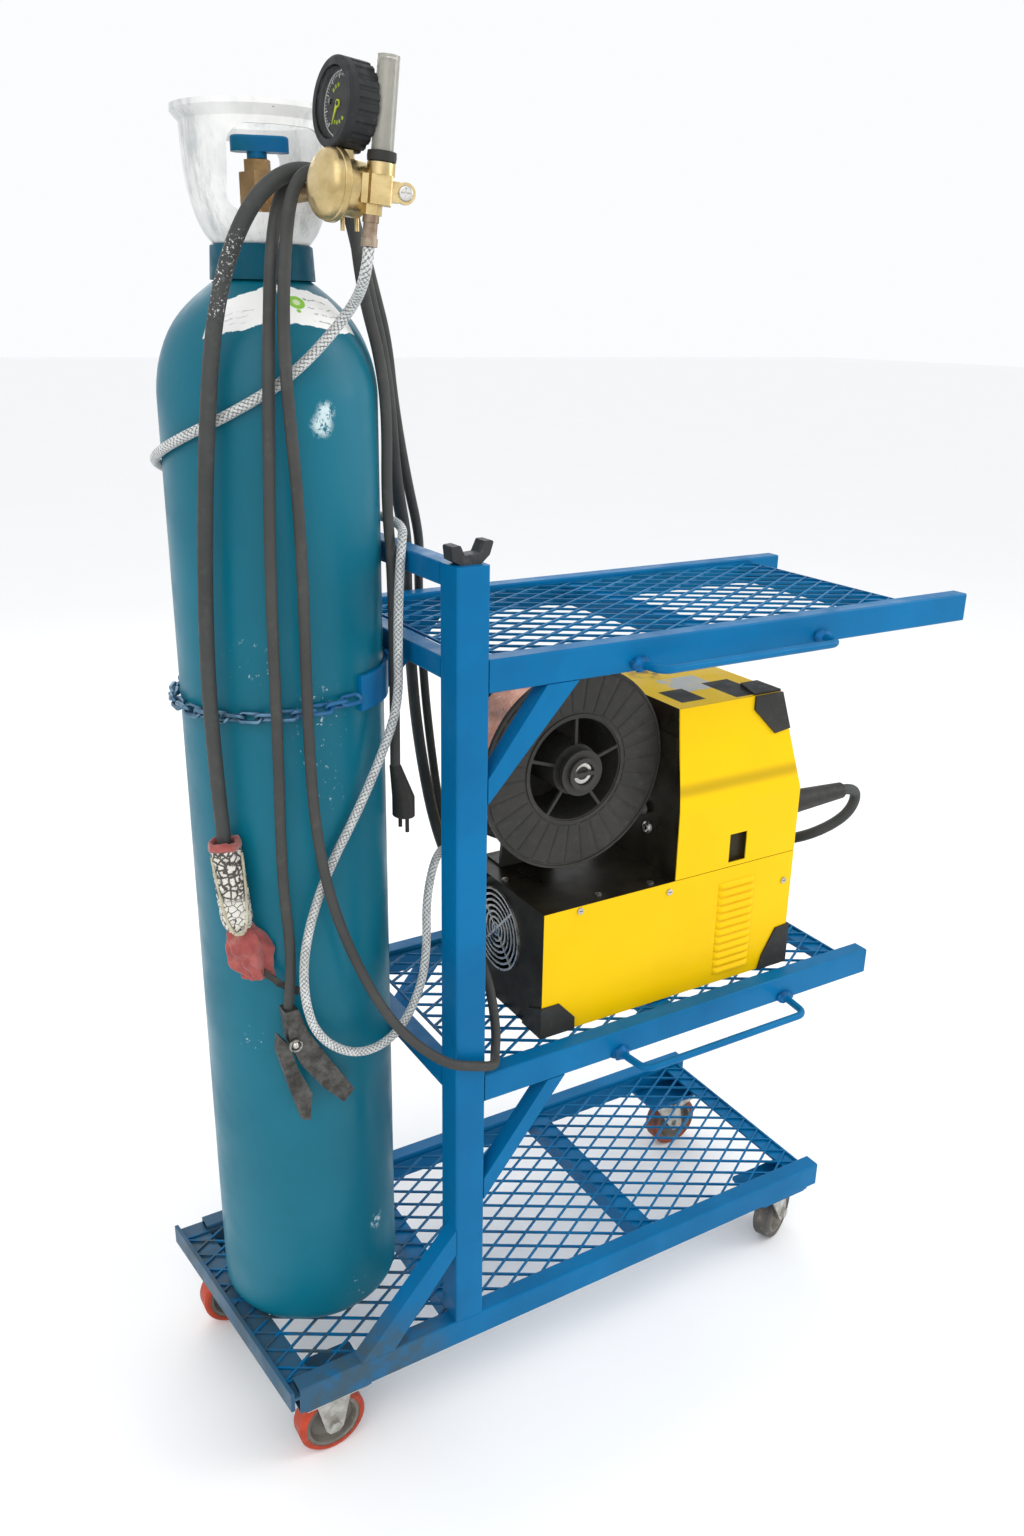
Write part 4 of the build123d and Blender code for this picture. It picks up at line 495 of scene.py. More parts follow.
finishes = {
    "frame": frame_paint(),
    "mesh": mesh_paint(),
    "cylinder": cylinder_paint(),
    "ring": painted("ring_blue", (0.002, 0.080, 0.125), (0.002, 0.060, 0.095), 0.4, 20.0).material,
    "guard": guard_paint(),
    "brass": metal("brass", (0.66, 0.52, 0.27), (0.46, 0.34, 0.15), 0.34).material,
    "old_brass": metal("old_brass", (0.50, 0.33, 0.16), (0.30, 0.19, 0.09), 0.45).material,
    "handle": painted("handle_blue", (0.004, 0.12, 0.30), (0.004, 0.12, 0.20), 0.36, 30.0).material,
    "gauge": plastic(
        "gauge_black", (0.012, 0.013, 0.014), (0.022, 0.024, 0.026), 0.5, dust=0.08
    ).material,
    "needle": painted("needle_yellow", (0.62, 0.70, 0.05), (0.50, 0.60, 0.04), 0.5, 40.0).material,
    "tube": clear("clear_tube", (0.50, 0.49, 0.43), 0.1, 0.55),
    "lens": clear("lens_clear", (1.0, 1.0, 1.0), 0.01, IOR=1.08),
    "float": plastic("float_white", (0.75, 0.75, 0.70), (0.6, 0.6, 0.55), 0.4).material,
    "steel": metal("steel", (0.62, 0.61, 0.58), (0.42, 0.40, 0.37), 0.34).material,
    "rusty": metal("rusty_steel", (0.42, 0.35, 0.27), (0.22, 0.15, 0.10), 0.5).material,
    "galvanised": metal(
        "galvanised", (0.56, 0.56, 0.53), (0.34, 0.32, 0.28), 0.45, 120, 0.0003, 60.0
    ).material,
    "wheel": plastic("wheel_dark", (0.10, 0.095, 0.085), (0.18, 0.165, 0.14), 0.6, dust=0.4).material,
    "tread_orange": plastic(
        "tread_orange", (0.52, 0.055, 0.02), (0.26, 0.035, 0.016), 0.45, dust=0.2
    ).material,
    "tread_worn": plastic(
        "tread_worn", (0.07, 0.05, 0.04), (0.30, 0.05, 0.02), 0.5, patch=40.0
    ).material,
    "tread_grey": plastic(
        "tread_grey", (0.05, 0.048, 0.045), (0.12, 0.11, 0.095), 0.6, dust=0.45
    ).material,
    "welder_base": welder_paint("welder_lower_yellow", False),
    "welder_cover": welder_paint("welder_upper_yellow", True),
    "door": door_paint(),
    "louvre": painted("louvre_yellow", YELLOW, YELLOW_SHADE, 0.34, 5.0).material,
    "panel_black": plastic("panel_black", (0.014, 0.014, 0.014), (0.03, 0.03, 0.028), 0.45).material,
    "plastic": plastic(
        "black_plastic", (0.024, 0.024, 0.022), (0.034, 0.033, 0.030), 0.5, dust=0.05
    ).material,
    "spool": plastic(
        "spool_plastic", (0.030, 0.029, 0.026), (0.038, 0.036, 0.032), 0.42, dust=0.05
    ).material,
    "cradle": plastic("cradle_grey", (0.03, 0.031, 0.033), (0.06, 0.06, 0.062), 0.5).material,
    "copper": metal("copper", (0.90, 0.52, 0.40), (0.70, 0.34, 0.24), 0.36, 300, 0.0001, 40.0).material,
    "inner": plastic("inner_grey", (0.08, 0.08, 0.08), (0.14, 0.14, 0.135), 0.5).material,
    "torch_lead": rubber_lead("torch_sheath", (0.042, 0.045, 0.043), (0.055, 0.058, 0.055), TORCH_SPECKS),
    "lead": rubber_lead("lead_sheath", (0.046, 0.047, 0.044), (0.058, 0.060, 0.056), []),
    "hose": braided("hose_braid"),
    "cloth": cloth_finish("red_cloth", (0.44, 0.10, 0.085), (0.26, 0.045, 0.04), (0.42, 0.28, 0.24)),
    "edge": cloth_finish("cream_edge", (0.62, 0.58, 0.42), (0.42, 0.38, 0.26), (0.30, 0.26, 0.18)),
    "sleeve": mottled("glass_sleeve"),
    "strip": plastic("dark_strip", (0.025, 0.024, 0.022), (0.06, 0.055, 0.05), 0.6).material,
    "clamp": metal(
        "cast_grey", (0.14, 0.137, 0.128), (0.065, 0.062, 0.057), 0.55, 160, 0.0004, 55.0
    ).material,
    "chain": chain_finish(),
    "fan_ring": metal("grille_wire", (0.72, 0.71, 0.68), (0.50, 0.49, 0.46), 0.35).material,
    "dial": dial_face("dial_black"),
    "dial_white": painted("dial_white", (0.72, 0.74, 0.72), (0.62, 0.64, 0.62), 0.5, 90.0).material,
    "dial_green": painted("dial_green", (0.42, 0.55, 0.04), (0.30, 0.42, 0.03), 0.5, 90.0).material,
    "weld": painted("weld_blue", (0.004, 0.14, 0.38), (0.01, 0.09, 0.22), 0.4, 90.0, 0.0006).material,
}

WEARS = {
    "frame": [
        "braces", "cable_rods", "long_rails", "posts", "shelf_frames", "cylinder_band", "caster_plates",
    ],
    "mesh": ["shelf_meshes"],
    "cylinder": ["gas_cylinder"],
    "ring": ["neck_ring"],
    "guard": ["valve_guard"],
    "brass": ["flow_block", "regulator_body"],
    "old_brass": ["inlet_stem", "valve_body"],
    "handle": ["valve_handle"],
    "gauge": ["pressure_gauge"],
    "needle": ["gauge_needle"],
    "tube": ["flow_tube"],
    "float": ["flow_float"],
    "steel": ["flow_screw", "panel_screws"],
    "rusty": ["hose_tail"],
    "galvanised": ["left_forks", "near_right_fork", "far_right_fork", "brake_pedal"],
    "wheel": ["near_left_wheel", "far_left_wheel", "near_right_wheel", "far_right_wheel"],
    "tread_orange": ["near_left_tread", "far_left_tread"],
    "tread_worn": ["far_right_tread"],
    "tread_grey": ["near_right_tread"],
    "welder_base": ["welder_base"],
    "welder_cover": ["welder_cover"],
    "door": ["feeder_door"],
    "panel_black": ["front_panel", "fan_rotor"],
    "plastic": ["corner_pads", "door_pad", "current_knob", "cable_fittings", "mains_plug"],
    "spool": ["spool", "spool_spindle"],
    "cradle": ["torch_cradle"],
    "inner": ["power_unit", "feed_motor"],
    "clamp": ["clamp_body", "clamp_jaw"],
    "chain": ["cylinder_chain"],
    "fan_ring": ["fan_grille"],
}
for finish_name, worn_by in WEARS.items():
    for node_name in worn_by:
        materials = nodes[node_name].data.materials
        materials.clear()
        materials.append(finishes[finish_name])


# --------------------------------------------------------------------------- cords
def linked(name, data):
    """A new object in the scene."""
    made = bpy.data.objects.new(name, data)
    scene.collection.objects.link(made)
    return made


def fitted(piece, body):
    """Puts a piece on a body."""
    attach(piece, body)
    return piece


def route_curve(name, points):
    """A smooth open curve whose control points are the route's corners."""
    data = bpy.data.curves.new(name, "CURVE")
    data.dimensions = "3D"
    spline = data.splines.new("NURBS")
    spline.points.add(len(points) - 1)
    for control, (x, y, z) in zip(spline.points, points):
        control.co = (x, y, z, 1.0)
    spline.order_u = 3
    spline.use_endpoint_u = True
    spline.resolution_u = 10
    return linked(name, data)


def lead(name, points, diameter, finish_name):
    """A round lead along its route."""
    made = route_curve(name, points)
    made.data.bevel_depth = diameter / 2
    made.data.bevel_resolution = 6
    made.data.use_fill_caps = True
    made.data.materials.append(finishes[finish_name])
    return made


def add_mesh(name, vertices, faces, finish_name, smooth=True):
    """A mesh object from points and faces."""
    data = bpy.data.meshes.new(name)
    data.from_pydata([tuple(v) for v in vertices], [], faces)
    data.polygons.foreach_set("use_smooth", [smooth] * len(data.polygons))
    data.materials.append(finishes[finish_name])
    data.update()
    return linked(name, data)


def mesh_of(name, bm, finish_name, smooth=True):
    """A mesh object from a bmesh, which is used up."""
    data = bpy.data.meshes.new(name)
    bm.to_mesh(data)
    bm.free()
    data.polygons.foreach_set("use_smooth", [smooth] * len(data.polygons))
    data.materials.append(finishes[finish_name])
    return linked(name, data)


def ring_faces(rings, around, closed_along=False):
    """Quads of a tube's grid of rings, each closed on itself."""
    faces = []
    for i in range(rings if closed_along else rings - 1):
        a, b = i * around, ((i + 1) % rings) * around
        for j in range(around):
            k = (j + 1) % around
            faces.append((a + j, a + k, b + k, b + j))
    return faces


def capped_faces(rings, around):
    """The same with both ends closed."""
    last = (rings - 1) * around
    faces = ring_faces(rings, around)
    faces.append(tuple(range(around - 1, -1, -1)))
    faces.append(tuple(range(last, last + around)))
    return faces


def sheet_faces(rows, columns, start=0, down_first=False):
    """Quads of an open grid with that many cells each way."""
    faces = []
    for i in range(rows):
        for j in range(columns):
            a = start + i * (columns + 1) + j
            b = a + columns + 1
            faces.append((a, b, b + 1, a + 1) if down_first else (a, a + 1, b + 1, b))
    return faces


def thicken(piece, thickness, offset=-1.0):
    """Gives a sheet its thickness: inwards, or to both sides at offset 0."""
    made = piece.modifiers.new("thickness", "SOLIDIFY")
    made.thickness = thickness
    made.offset = offset
    return piece


def walked(curve, step):
    """Points at an even step along a curve's own line."""
    line = bpy.data.meshes.new_from_object(curve)
    points = [v.co.copy() for v in line.vertices]
    bpy.data.meshes.remove(line)
    total = sum((b - a).length for a, b in zip(points, points[1:]))
    count = int(total / step)
    gap = total / count
    made, done, target = [points[0]], 0.0, gap
    for a, b in zip(points, points[1:]):
        length = (b - a).length
        while target <= done + length + 1e-9 and len(made) <= count:
            made.append(a.lerp(b, (target - done) / length))
            target += gap
        done += length
    return made


YARNS = 6
WEAVE_STEP = 0.00095
AROUND_HOSE = 32


def braided_hose(name, points, diameter):
    """Hose with a two-way braid: crowned yarns that pass over and under each other."""
    route = route_curve(name + "_route", points)
    path = walked(route, WEAVE_STEP)
    bpy.data.objects.remove(route)
    ahead = [(b - a).normalized() for a, b in zip(path, path[1:])]
    ahead.append(ahead[-1])
    side = ahead[0].orthogonal().normalized()
    vertices, weave = [], []
    pitch = math.pi * diameter / YARNS
    for i, (centre, way) in enumerate(zip(path, ahead)):
        side = (side - way * side.dot(way)).normalized()
        other = way.cross(side)
        along = i * WEAVE_STEP / pitch
        for j in range(AROUND_HOSE):
            angle = 2 * math.pi * j / AROUND_HOSE
            across = angle * YARNS / (2 * math.pi)
            left, right = across + along, across - along
            over = (math.floor(left) + math.floor(right)) % 2 == 0
            share = left % 1 if over else right % 1
            crown = math.sin(math.pi * share)
            radius = diameter / 2 * (0.955 + 0.045 * crown)
            vertices.append(centre + (side * math.cos(angle) + other * math.sin(angle)) * radius)
            weave.append(crown)
    made = add_mesh(name, vertices, capped_faces(len(path), AROUND_HOSE), "hose")
    attribute = made.data.attributes.new("weave", "FLOAT", "POINT")
    attribute.data.foreach_set("value", weave)
    return made, path


TORCH_ROUTE = [
    (0.429, -0.0635, 0.742), (0.47, -0.061, 0.741), (0.466, -0.054, 0.692),
    (0.4, -0.036, 0.662), (0.374, 0.028, 0.636), (0.328, 0.11, 0.602),
    (0.24, 0.126, 0.548), (0.15, 0.13, 0.5215), (0.03, 0.124, 0.522),
    (-0.07, 0.13, 0.56), (-0.124, 0.162, 0.68), (-0.139, 0.198, 0.838),
    (-0.133, 0.233, 0.978), (-0.136, 0.233, 1.062), (-0.19, 0.12, 1.128),
    (-0.24, 0.046, 1.214), (-0.265, 0.006, 1.302), (-0.277, 0.001, 1.366),
    (-0.294, -0.008, 1.412), (-0.309, -0.02, 1.462), (-0.336, -0.052, 1.504),
    (-0.386, -0.075, 1.52), (-0.426, -0.076, 1.502), (-0.45, -0.058, 1.46),
    (-0.47, -0.048, 1.396), (-0.486, -0.051, 1.3), (-0.496, -0.038, 1.14),
    (-0.5, -0.034, 0.98), (-0.494, -0.036, 0.842),
]
EARTH_ROUTE = [
    (0.384, 0.0615, 0.563), (0.414, 0.066, 0.558), (0.414, 0.11, 0.545),
    (0.35, 0.132, 0.528), (0.24, 0.152, 0.52), (0.09, 0.155, 0.5196),
    (-0.04, 0.15, 0.54), (-0.104, 0.17, 0.64), (-0.121, 0.198, 0.838),
    (-0.115, 0.233, 0.978), (-0.116, 0.236, 1.066), (-0.17, 0.122, 1.13),
    (-0.22, 0.058, 1.216), (-0.25, 0.026, 1.3), (-0.261, 0.017, 1.366),
    (-0.279, 0.008, 1.416), (-0.298, 0, 1.47), (-0.332, -0.032, 1.508),
    (-0.39, -0.057, 1.518), (-0.407, -0.062, 1.494), (-0.422, -0.079, 1.456),
    (-0.428, -0.079, 1.4), (-0.434, -0.08, 1.31), (-0.441, -0.078, 1.13),
    (-0.441, -0.077, 0.96), (-0.445, -0.077, 0.8), (-0.437, -0.077, 0.7),
    (-0.446, -0.079, 0.64),
]
MAINS_ROUTE = [
    (-0.131, 0.076, 0.65), (-0.152, 0.072, 0.651), (-0.168, 0.03, 0.646),
    (-0.18, -0.04, 0.642), (-0.187, -0.095, 0.606), (-0.19, -0.118, 0.552),
    (-0.206, -0.142, 0.534), (-0.219, -0.165, 0.537), (-0.248, -0.164, 0.546),
    (-0.286, -0.162, 0.56), (-0.33, -0.126, 0.6), (-0.364, -0.104, 0.672),
    (-0.396, -0.096, 0.77), (-0.41, -0.092, 0.87), (-0.411, -0.088, 0.99),
    (-0.409, -0.088, 1.19), (-0.42, -0.091, 1.34), (-0.418, -0.091, 1.41),
    (-0.412, -0.092, 1.468), (-0.404, -0.092, 1.5), (-0.39, -0.092, 1.515),
    (-0.366, -0.091, 1.514), (-0.34, -0.08, 1.492), (-0.326, -0.056, 1.45),
    (-0.31, -0.036, 1.405), (-0.29, -0.027, 1.35), (-0.28, -0.021, 1.29),
    (-0.2795, -0.014, 1.2), (-0.277, -0.02, 1.13), (-0.276, -0.02, 1.01),
    (-0.277, -0.02, 0.89),
]
HOSE_ROUTE = [
    (-0.3618, -0.1621, 1.4486), (-0.3639, -0.1612, 1.4247), (-0.348, -0.088, 1.394),
    (-0.405, -0.0756, 1.334), (-0.462, -0.0514, 1.298), (-0.497, -0.01, 1.275),
    (-0.5105, 0.04, 1.256), (-0.503, 0.096, 1.24), (-0.468, 0.143, 1.222),
    (-0.416, 0.1705, 1.207), (-0.36, 0.171, 1.196), (-0.306, 0.1455, 1.187),
    (-0.272, 0.101, 1.18), (-0.2605, 0.05, 1.174), (-0.255, -0.006, 1.17),
    (-0.275, -0.041, 1.156), (-0.283, -0.047, 1.09), (-0.286, -0.051, 1.03),
    (-0.288, -0.055, 0.985), (-0.304, -0.062, 0.944), (-0.346, -0.074, 0.872),
    (-0.396, -0.08, 0.796), (-0.427, -0.088, 0.72), (-0.433, -0.096, 0.655),
    (-0.418, -0.098, 0.6), (-0.37, -0.098, 0.562), (-0.316, -0.092, 0.568),
    (-0.276, -0.08, 0.616), (-0.262, -0.07, 0.668), (-0.256, -0.056, 0.726),
    (-0.222, -0.02, 0.768), (-0.172, 0.034, 0.74), (-0.15, 0.048, 0.69),
    (-0.135, 0.05, 0.682),
]

torch_lead = lead("torch_cable", TORCH_ROUTE, TORCH_D, "torch_lead")
earth_lead = lead("earth_cable", EARTH_ROUTE, EARTH_D, "lead")
mains_lead = lead("mains_cable", MAINS_ROUTE, MAINS_D, "lead")
gas_hose, hose_path = braided_hose("braided_hose", HOSE_ROUTE, HOSE_D)

# -------------------------------------------------------------- wrap at the torch end
WRAP_TOP = Vector((-0.494, -0.036, 0.842))
WRAP_END = Vector((-0.487, -0.045, 0.735))
wrap_way = (WRAP_END - WRAP_TOP).normalized()
wrap_side = Vector((1, 0, 0)).cross(wrap_way).normalized()
wrap_other = wrap_way.cross(wrap_side)


def wrap_place(along, angle, radius):
    """A point round the wrap's axis, along metres below its top."""
    out = wrap_side * math.cos(angle) + wrap_other * math.sin(angle)
    return WRAP_TOP + wrap_way * along + out * radius


def rough_skin(point, scale, depth):
    """A repeatable bump for a point."""
    return noise.noise(point * scale) * depth


def wrap_sleeve():
    """Stiff woven sleeve over the torch end, closed and rounded at its foot."""
    rows, around = 110, 96
    vertices = []
    for i in range(rows + 1):
        share = i / rows
        along = 0.006 + share * 0.101
        girth = 0.0172 * (1.0 - max(0.0, share - 0.80) ** 2 * 9.0)
        for j in range(around):
            angle = 2 * math.pi * j / around
            point = wrap_place(along, angle, girth)
            flake = noise.cell(point * 330) * 0.0009
            vertices.append(wrap_place(along, angle, girth + flake + rough_skin(point, 90, 0.0009)))
    return add_mesh("sleeve_braid", vertices, capped_faces(rows + 1, around), "sleeve")


def wrap_edge(name, line, radius, finish_name, wander=0.0006):
    """A soft cord-like edge along a line of points."""
    around = 14
    vertices = []
    for i, centre in enumerate(line):
        before, after = line[max(i - 1, 0)], line[min(i + 1, len(line) - 1)]
        way = (after - before).normalized()
        side = way.orthogonal().normalized()
        other = way.cross(side)
        for j in range(around):
            angle = 2 * math.pi * j / around
            out = side * math.cos(angle) + other * math.sin(angle)
            vertices.append(centre + out * (radius + rough_skin(centre + out * radius, 400, wander)))
    return add_mesh(name, vertices, capped_faces(len(line), around), finish_name)


def wrap_rim():
    """Rolled red cloth round the sleeve's mouth."""
    rings, around = 120, 20
    vertices = []
    for i in range(rings):
        turn = 2 * math.pi * i / rings
        for j in range(around):
            angle = 2 * math.pi * j / around
            swell = 0.0052 + rough_skin(Vector((math.cos(turn), math.sin(turn), 0.3 * angle)), 3.0, 0.0014)
            radius = 0.0152 + math.cos(angle) * swell * 0.62
            along = 0.002 + math.sin(angle) * swell + 0.0012 * math.sin(3 * turn)
            vertices.append(wrap_place(along, turn, radius))
    return add_mesh("rim_cloth", vertices, ring_faces(rings, around, True), "cloth")


def wrap_cloth():
    """A torn piece of red cloth gathered into the sleeve's foot and hanging crumpled below it."""
    across, down = 150, 60
    top, bottom = Vector((-0.486, -0.047, 0.742)), Vector((-0.472, -0.058, 0.678))
    vertices = []
    for i in range(down + 1):
        v = i / down
        centre = top.lerp(bottom, v)
        for j in range(across + 1):
            u = j / across
            angle = u * 2 * math.pi * 1.35
            spread = 0.010 + 0.010 * math.sin(math.pi * min(1.0, v * 1.15)) + 0.0035 * u
            fold = 0.0034 * math.sin(angle * 4.0 + 2.5 * v) + 0.0016 * math.sin(angle * 9.0 - 5.0 * v)
            crease = rough_skin(Vector((angle, v * 3.0, 0.4)), 1.7, 0.005)
            reach = spread + fold * (0.35 + v) + crease
            drop = rough_skin(Vector((angle * 0.8, v * 2.0, 4.0)), 1.3, 0.009) * v
            out = Vector((math.cos(angle) * reach * 1.05, math.sin(angle) * reach * 0.52, drop))
            vertices.append(centre + out)
    made = add_mesh("hanging_cloth", vertices, sheet_faces(down, across), "cloth")
    return thicken(made, 0.0009, 0.0)


def wrap_strip():
    """A dark stiff strip from the cloth to the earth clamp."""
    start, end = Vector((-0.466, -0.060, 0.684)), Vector((-0.430, -0.072, 0.655))
    count = 40
    vertices = []
    for i in range(count + 1):
        share = i / count
        centre = start.lerp(end, share) + Vector((0, 0, -0.004 * math.sin(math.pi * share)))
        half = 0.0042 + 0.0005 * math.sin(share * 21)
        for offset, rise in ((-0.0014, -half), (0.0014, -half), (0.0014, half), (-0.0014, half)):
            vertices.append(centre + Vector((0.25 * rise, offset, rise)))
    return add_mesh("wrap_tail", vertices, capped_faces(count + 1, 4), "strip", False)


def sleeve_edge():
    """Cream binding down the sleeve's open seam and round its foot, on the side that shows."""
    line = []
    for i in range(80):
        share = i / 79
        swing = -1.15 + 2.3 * share
        along = 0.012 + 0.092 * (1.0 - abs(2 * share - 1) ** 3)
        line.append(wrap_place(along, SEAM_BEARING + swing, 0.0178))
    return wrap_edge("sleeve_binding", line, 0.0017, "edge")


to_camera = CAMERA_PLACE - WRAP_TOP
SEAM_BEARING = math.atan2(to_camera.dot(wrap_other), to_camera.dot(wrap_side))
sleeve = wrap_sleeve()
wrap_pieces = [sleeve, wrap_rim(), sleeve_edge()]
strip = wrap_strip()
cloth = wrap_cloth()
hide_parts("torch_wrap")
for piece in (*wrap_pieces, cloth, strip):
    fitted(piece, "cart")

for piece, node_name, slot in (
    (torch_lead, "torch_lead", "cord_black"),
    (earth_lead, "earth_lead", "cord_black"),
    (mains_lead, "mains_lead", "cord_black"),
    (gas_hose, "gas_hose", "hose_grey"),
):
    fitted(piece, "cart")
    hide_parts(node_name)


# ------------------------------------------------------------------------- spool
def disc_frame(y, side):
    """Centre, and the two directions across a spool flange."""
    return Vector((SPOOL_X, y, SPOOL_Z)), Vector((1, 0, 0)), Vector((0, 0, 1)), Vector((0, side, 0))


def spool_ribs():
    """Raised sectors on both flanges, with a shallow step between neighbours."""
    sectors, bend = 30, 6
    inner, outer = RIM_R + 0.003, SPOOL_R - 0.006
    bm = bmesh.new()
    for y, side in ((SPOOL_NEAR, -1), (SPOOL_FAR, 1)):
        centre, right, up, out = disc_frame(y, side)
        for sector in range(sectors):
            first = 2 * math.pi * (sector + 0.06) / sectors
            last = 2 * math.pi * (sector + 0.94) / sectors
            rows = []
            for radius, height in (
                (inner, 0.0), (inner, 0.0008), (inner + 0.0006, 0.0011),
                (outer - 0.0006, 0.0011), (outer, 0.0008), (outer, 0.0),
            ):
                row = []
                for k in range(bend + 1):
                    angle = first + (last - first) * k / bend
                    lift = height * (0.45 if k in (0, bend) else 1.0)
                    place = centre + right * math.cos(angle) * radius + up * math.sin(angle) * radius
                    row.append(bm.verts.new(place + out * lift))
                rows.append(row)
            for low, high in zip(rows, rows[1:]):
                for k in range(bend):
                    bm.faces.new((low[k], low[k + 1], high[k + 1], high[k]))
            for k in (0, bend):
                ends = [row[k] for row in rows]
                bm.faces.new(ends if k else ends[::-1])
    bmesh.ops.recalc_face_normals(bm, faces=bm.faces)
    return mesh_of("spool_sectors", bm, "spool", False)


def round_spool(angle, radius, y):
    """A point at that angle and radius about the wire reel's axis."""
    return Vector((SPOOL_X + math.cos(angle) * radius, y, SPOOL_Z + math.sin(angle) * radius))


def wound_wire():
    """Level-wound copper wire, with low hills where the layers cross."""
    turns, fine, around = 54, 5, 220
    width = SPOOL_FAR - SPOOL_NEAR - 0.010
    start = SPOOL_NEAR + 0.005
    rows = turns * fine + 1
    vertices = []
    for i in range(rows):
        share = i / (rows - 1)
        crown = abs(math.sin(math.pi * share * turns))
        for j in range(around):
            angle = 2 * math.pi * j / around
            hills = noise.noise(Vector((math.cos(angle) * 2.2, share * 5.0, math.sin(angle) * 2.2)))
            radius = 0.1085 + 0.0009 * crown + 0.0022 * hills
            vertices.append(round_spool(angle, radius, start + width * share))
    for y in (start + width, start):
        vertices.extend(round_spool(2 * math.pi * j / around, RIM_R, y) for j in range(around))
    return add_mesh("wound_wire", vertices, ring_faces(rows + 2, around, True), "copper")


fitted(spool_ribs(), "wire_reel")
wire = fitted(wound_wire(), "wire_reel")
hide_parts("spool_wire")

# ------------------------------------------------------------------------- gauge
REG = Vector((-0.378, -0.144, 1.498))
GAUGE_CENTRE = REG + Vector((0.005, 0.001, 0.065))
TILT, SWING = math.radians(5.4), math.radians(4.9)
FACING = Vector((-math.cos(SWING) * math.cos(TILT), -math.sin(SWING), math.sin(TILT))).normalized()
gauge_right = Vector((0, 0, 1)).cross(FACING).normalized()
gauge_up = FACING.cross(gauge_right)
DIAL_LIFT = 0.0062


def dial_place(angle, radius, lift):
    out = gauge_right * math.cos(angle) + gauge_up * math.sin(angle)
    return GAUGE_CENTRE + out * radius + FACING * lift


def dial_ring(name, inner, outer, low, high, finish_name, around=96):
    """A flat ring on the dial."""
    vertices = []
    section = ((inner, low), (inner, high), (outer, high), (outer, low))
    for i in range(around):
        angle = 2 * math.pi * i / around
        for radius, lift in section:
            vertices.append(dial_place(angle, radius, lift))
    return add_mesh(name, vertices, ring_faces(around, 4, True), finish_name, False)


def dial_marks(name, marks, finish_name):
    """Small raised bars: angle, inner radius, outer radius, half width."""
    vertices, faces = [], []
    for angle, inner, outer, half in marks:
        start = len(vertices)
        for lift in (DIAL_LIFT, DIAL_LIFT + 0.0004):
            for radius, bend in ((inner, -half), (outer, -half), (outer, half), (inner, half)):
                vertices.append(dial_place(angle + bend / radius, radius, lift))
        faces.extend(
            tuple(start + k for k in quad)
            for quad in ((0, 3, 2, 1), (4, 5, 6, 7), (0, 1, 5, 4), (1, 2, 6, 5), (2, 3, 7, 6), (3, 0, 4, 7))
        )
    return add_mesh(name, vertices, faces, finish_name, False)


def gauge_lens():
    """Slightly domed clear window over the dial."""
    rings, around = 14, 72
    vertices = [dial_place(0, 0, 0.0136)]
    for i in range(1, rings + 1):
        radius = 0.0288 * i / rings
        for j in range(around):
            vertices.append(dial_place(2 * math.pi * j / around, radius, 0.0136 - 0.0016 * (i / rings) ** 2))
    faces = [(0, 1 + j, 1 + (j + 1) % around) for j in range(around)]
    faces.extend(tuple(1 + k for k in quad) for quad in ring_faces(rings, around))
    return thicken(add_mesh("gauge_lens", vertices, faces, "lens"), 0.0012)


sweep = [math.radians(225 - 270 * i / 40) for i in range(41)]
ticks = [(a, 0.0218 if i % 5 else 0.0200, 0.0240, 0.00018 if i % 5 else 0.00035) for i, a in enumerate(sweep)]
bars = [(math.radians(a), 0.0135, 0.0165, 0.0011) for a in (130, 112, 94, 250, 268, 285, 305)]
dial_parts = [
    dial_ring("dial_plate", 0.0021, 0.0287, 0.0060, DIAL_LIFT, "dial"),
    dial_ring("dial_border", 0.0250, 0.0256, DIAL_LIFT, DIAL_LIFT + 0.0003, "dial_white"),
    dial_marks("dial_ticks", ticks, "dial_white"),
    dial_marks("dial_bars", bars, "dial_green"),
    gauge_lens(),
]
dial_slots = ("gauge_black", "float_white", "float_white", "needle_yellow", "clear_tube")
for piece, slot in zip(dial_parts, dial_slots):
    fitted(piece, "cart")


# ------------------------------------------------------------------------ weld blobs
def weld_blobs(name, places):
    """Lumpy weld metal where rods and tubes meet, painted over."""
    bm = bmesh.new()
    for place, reach, squash in places:
        ball = bmesh.ops.create_icosphere(bm, subdivisions=3, radius=reach)
        for vertex in ball["verts"]:
            grow = 1.0 + 0.35 * noise.noise(vertex.co * 260 + Vector(place) * 90)
            spot = vertex.co * grow
            vertex.co = Vector(place) + Vector((spot.x * squash[0], spot.y * squash[1], spot.z * squash[2]))
    return mesh_of(name, bm, "weld")


ROD_WELD_ENDS = [(-0.022, 0.487), (0.266, 0.487), (-0.025, 1.016), (0.263, 1.016)]
ROD_WELDS = [((x, -0.1555, z), 0.0105, (1.25, 0.8, 0.9)) for x, z in ROD_WELD_ENDS]
fitted(weld_blobs("rod_welds", ROD_WELDS), "cart")


# ----------------------------------------------------------------------- small parts
def lathe(name, centre, axis, profile, finish_name, around=64):
    """A turned ring: profile gives radius and distance along the axis, as a closed section."""
    way = Vector(axis).normalized()
    side = way.orthogonal().normalized()
    other = way.cross(side)
    vertices = []
    for i in range(around):
        angle = 2 * math.pi * i / around
        out = side * math.cos(angle) + other * math.sin(angle)
        for radius, along in profile:
            vertices.append(Vector(centre) + out * radius + way * along)
    made = add_mesh(name, vertices, ring_faces(around, len(profile), True), finish_name)
    soften(made, 0.0003)
    return made


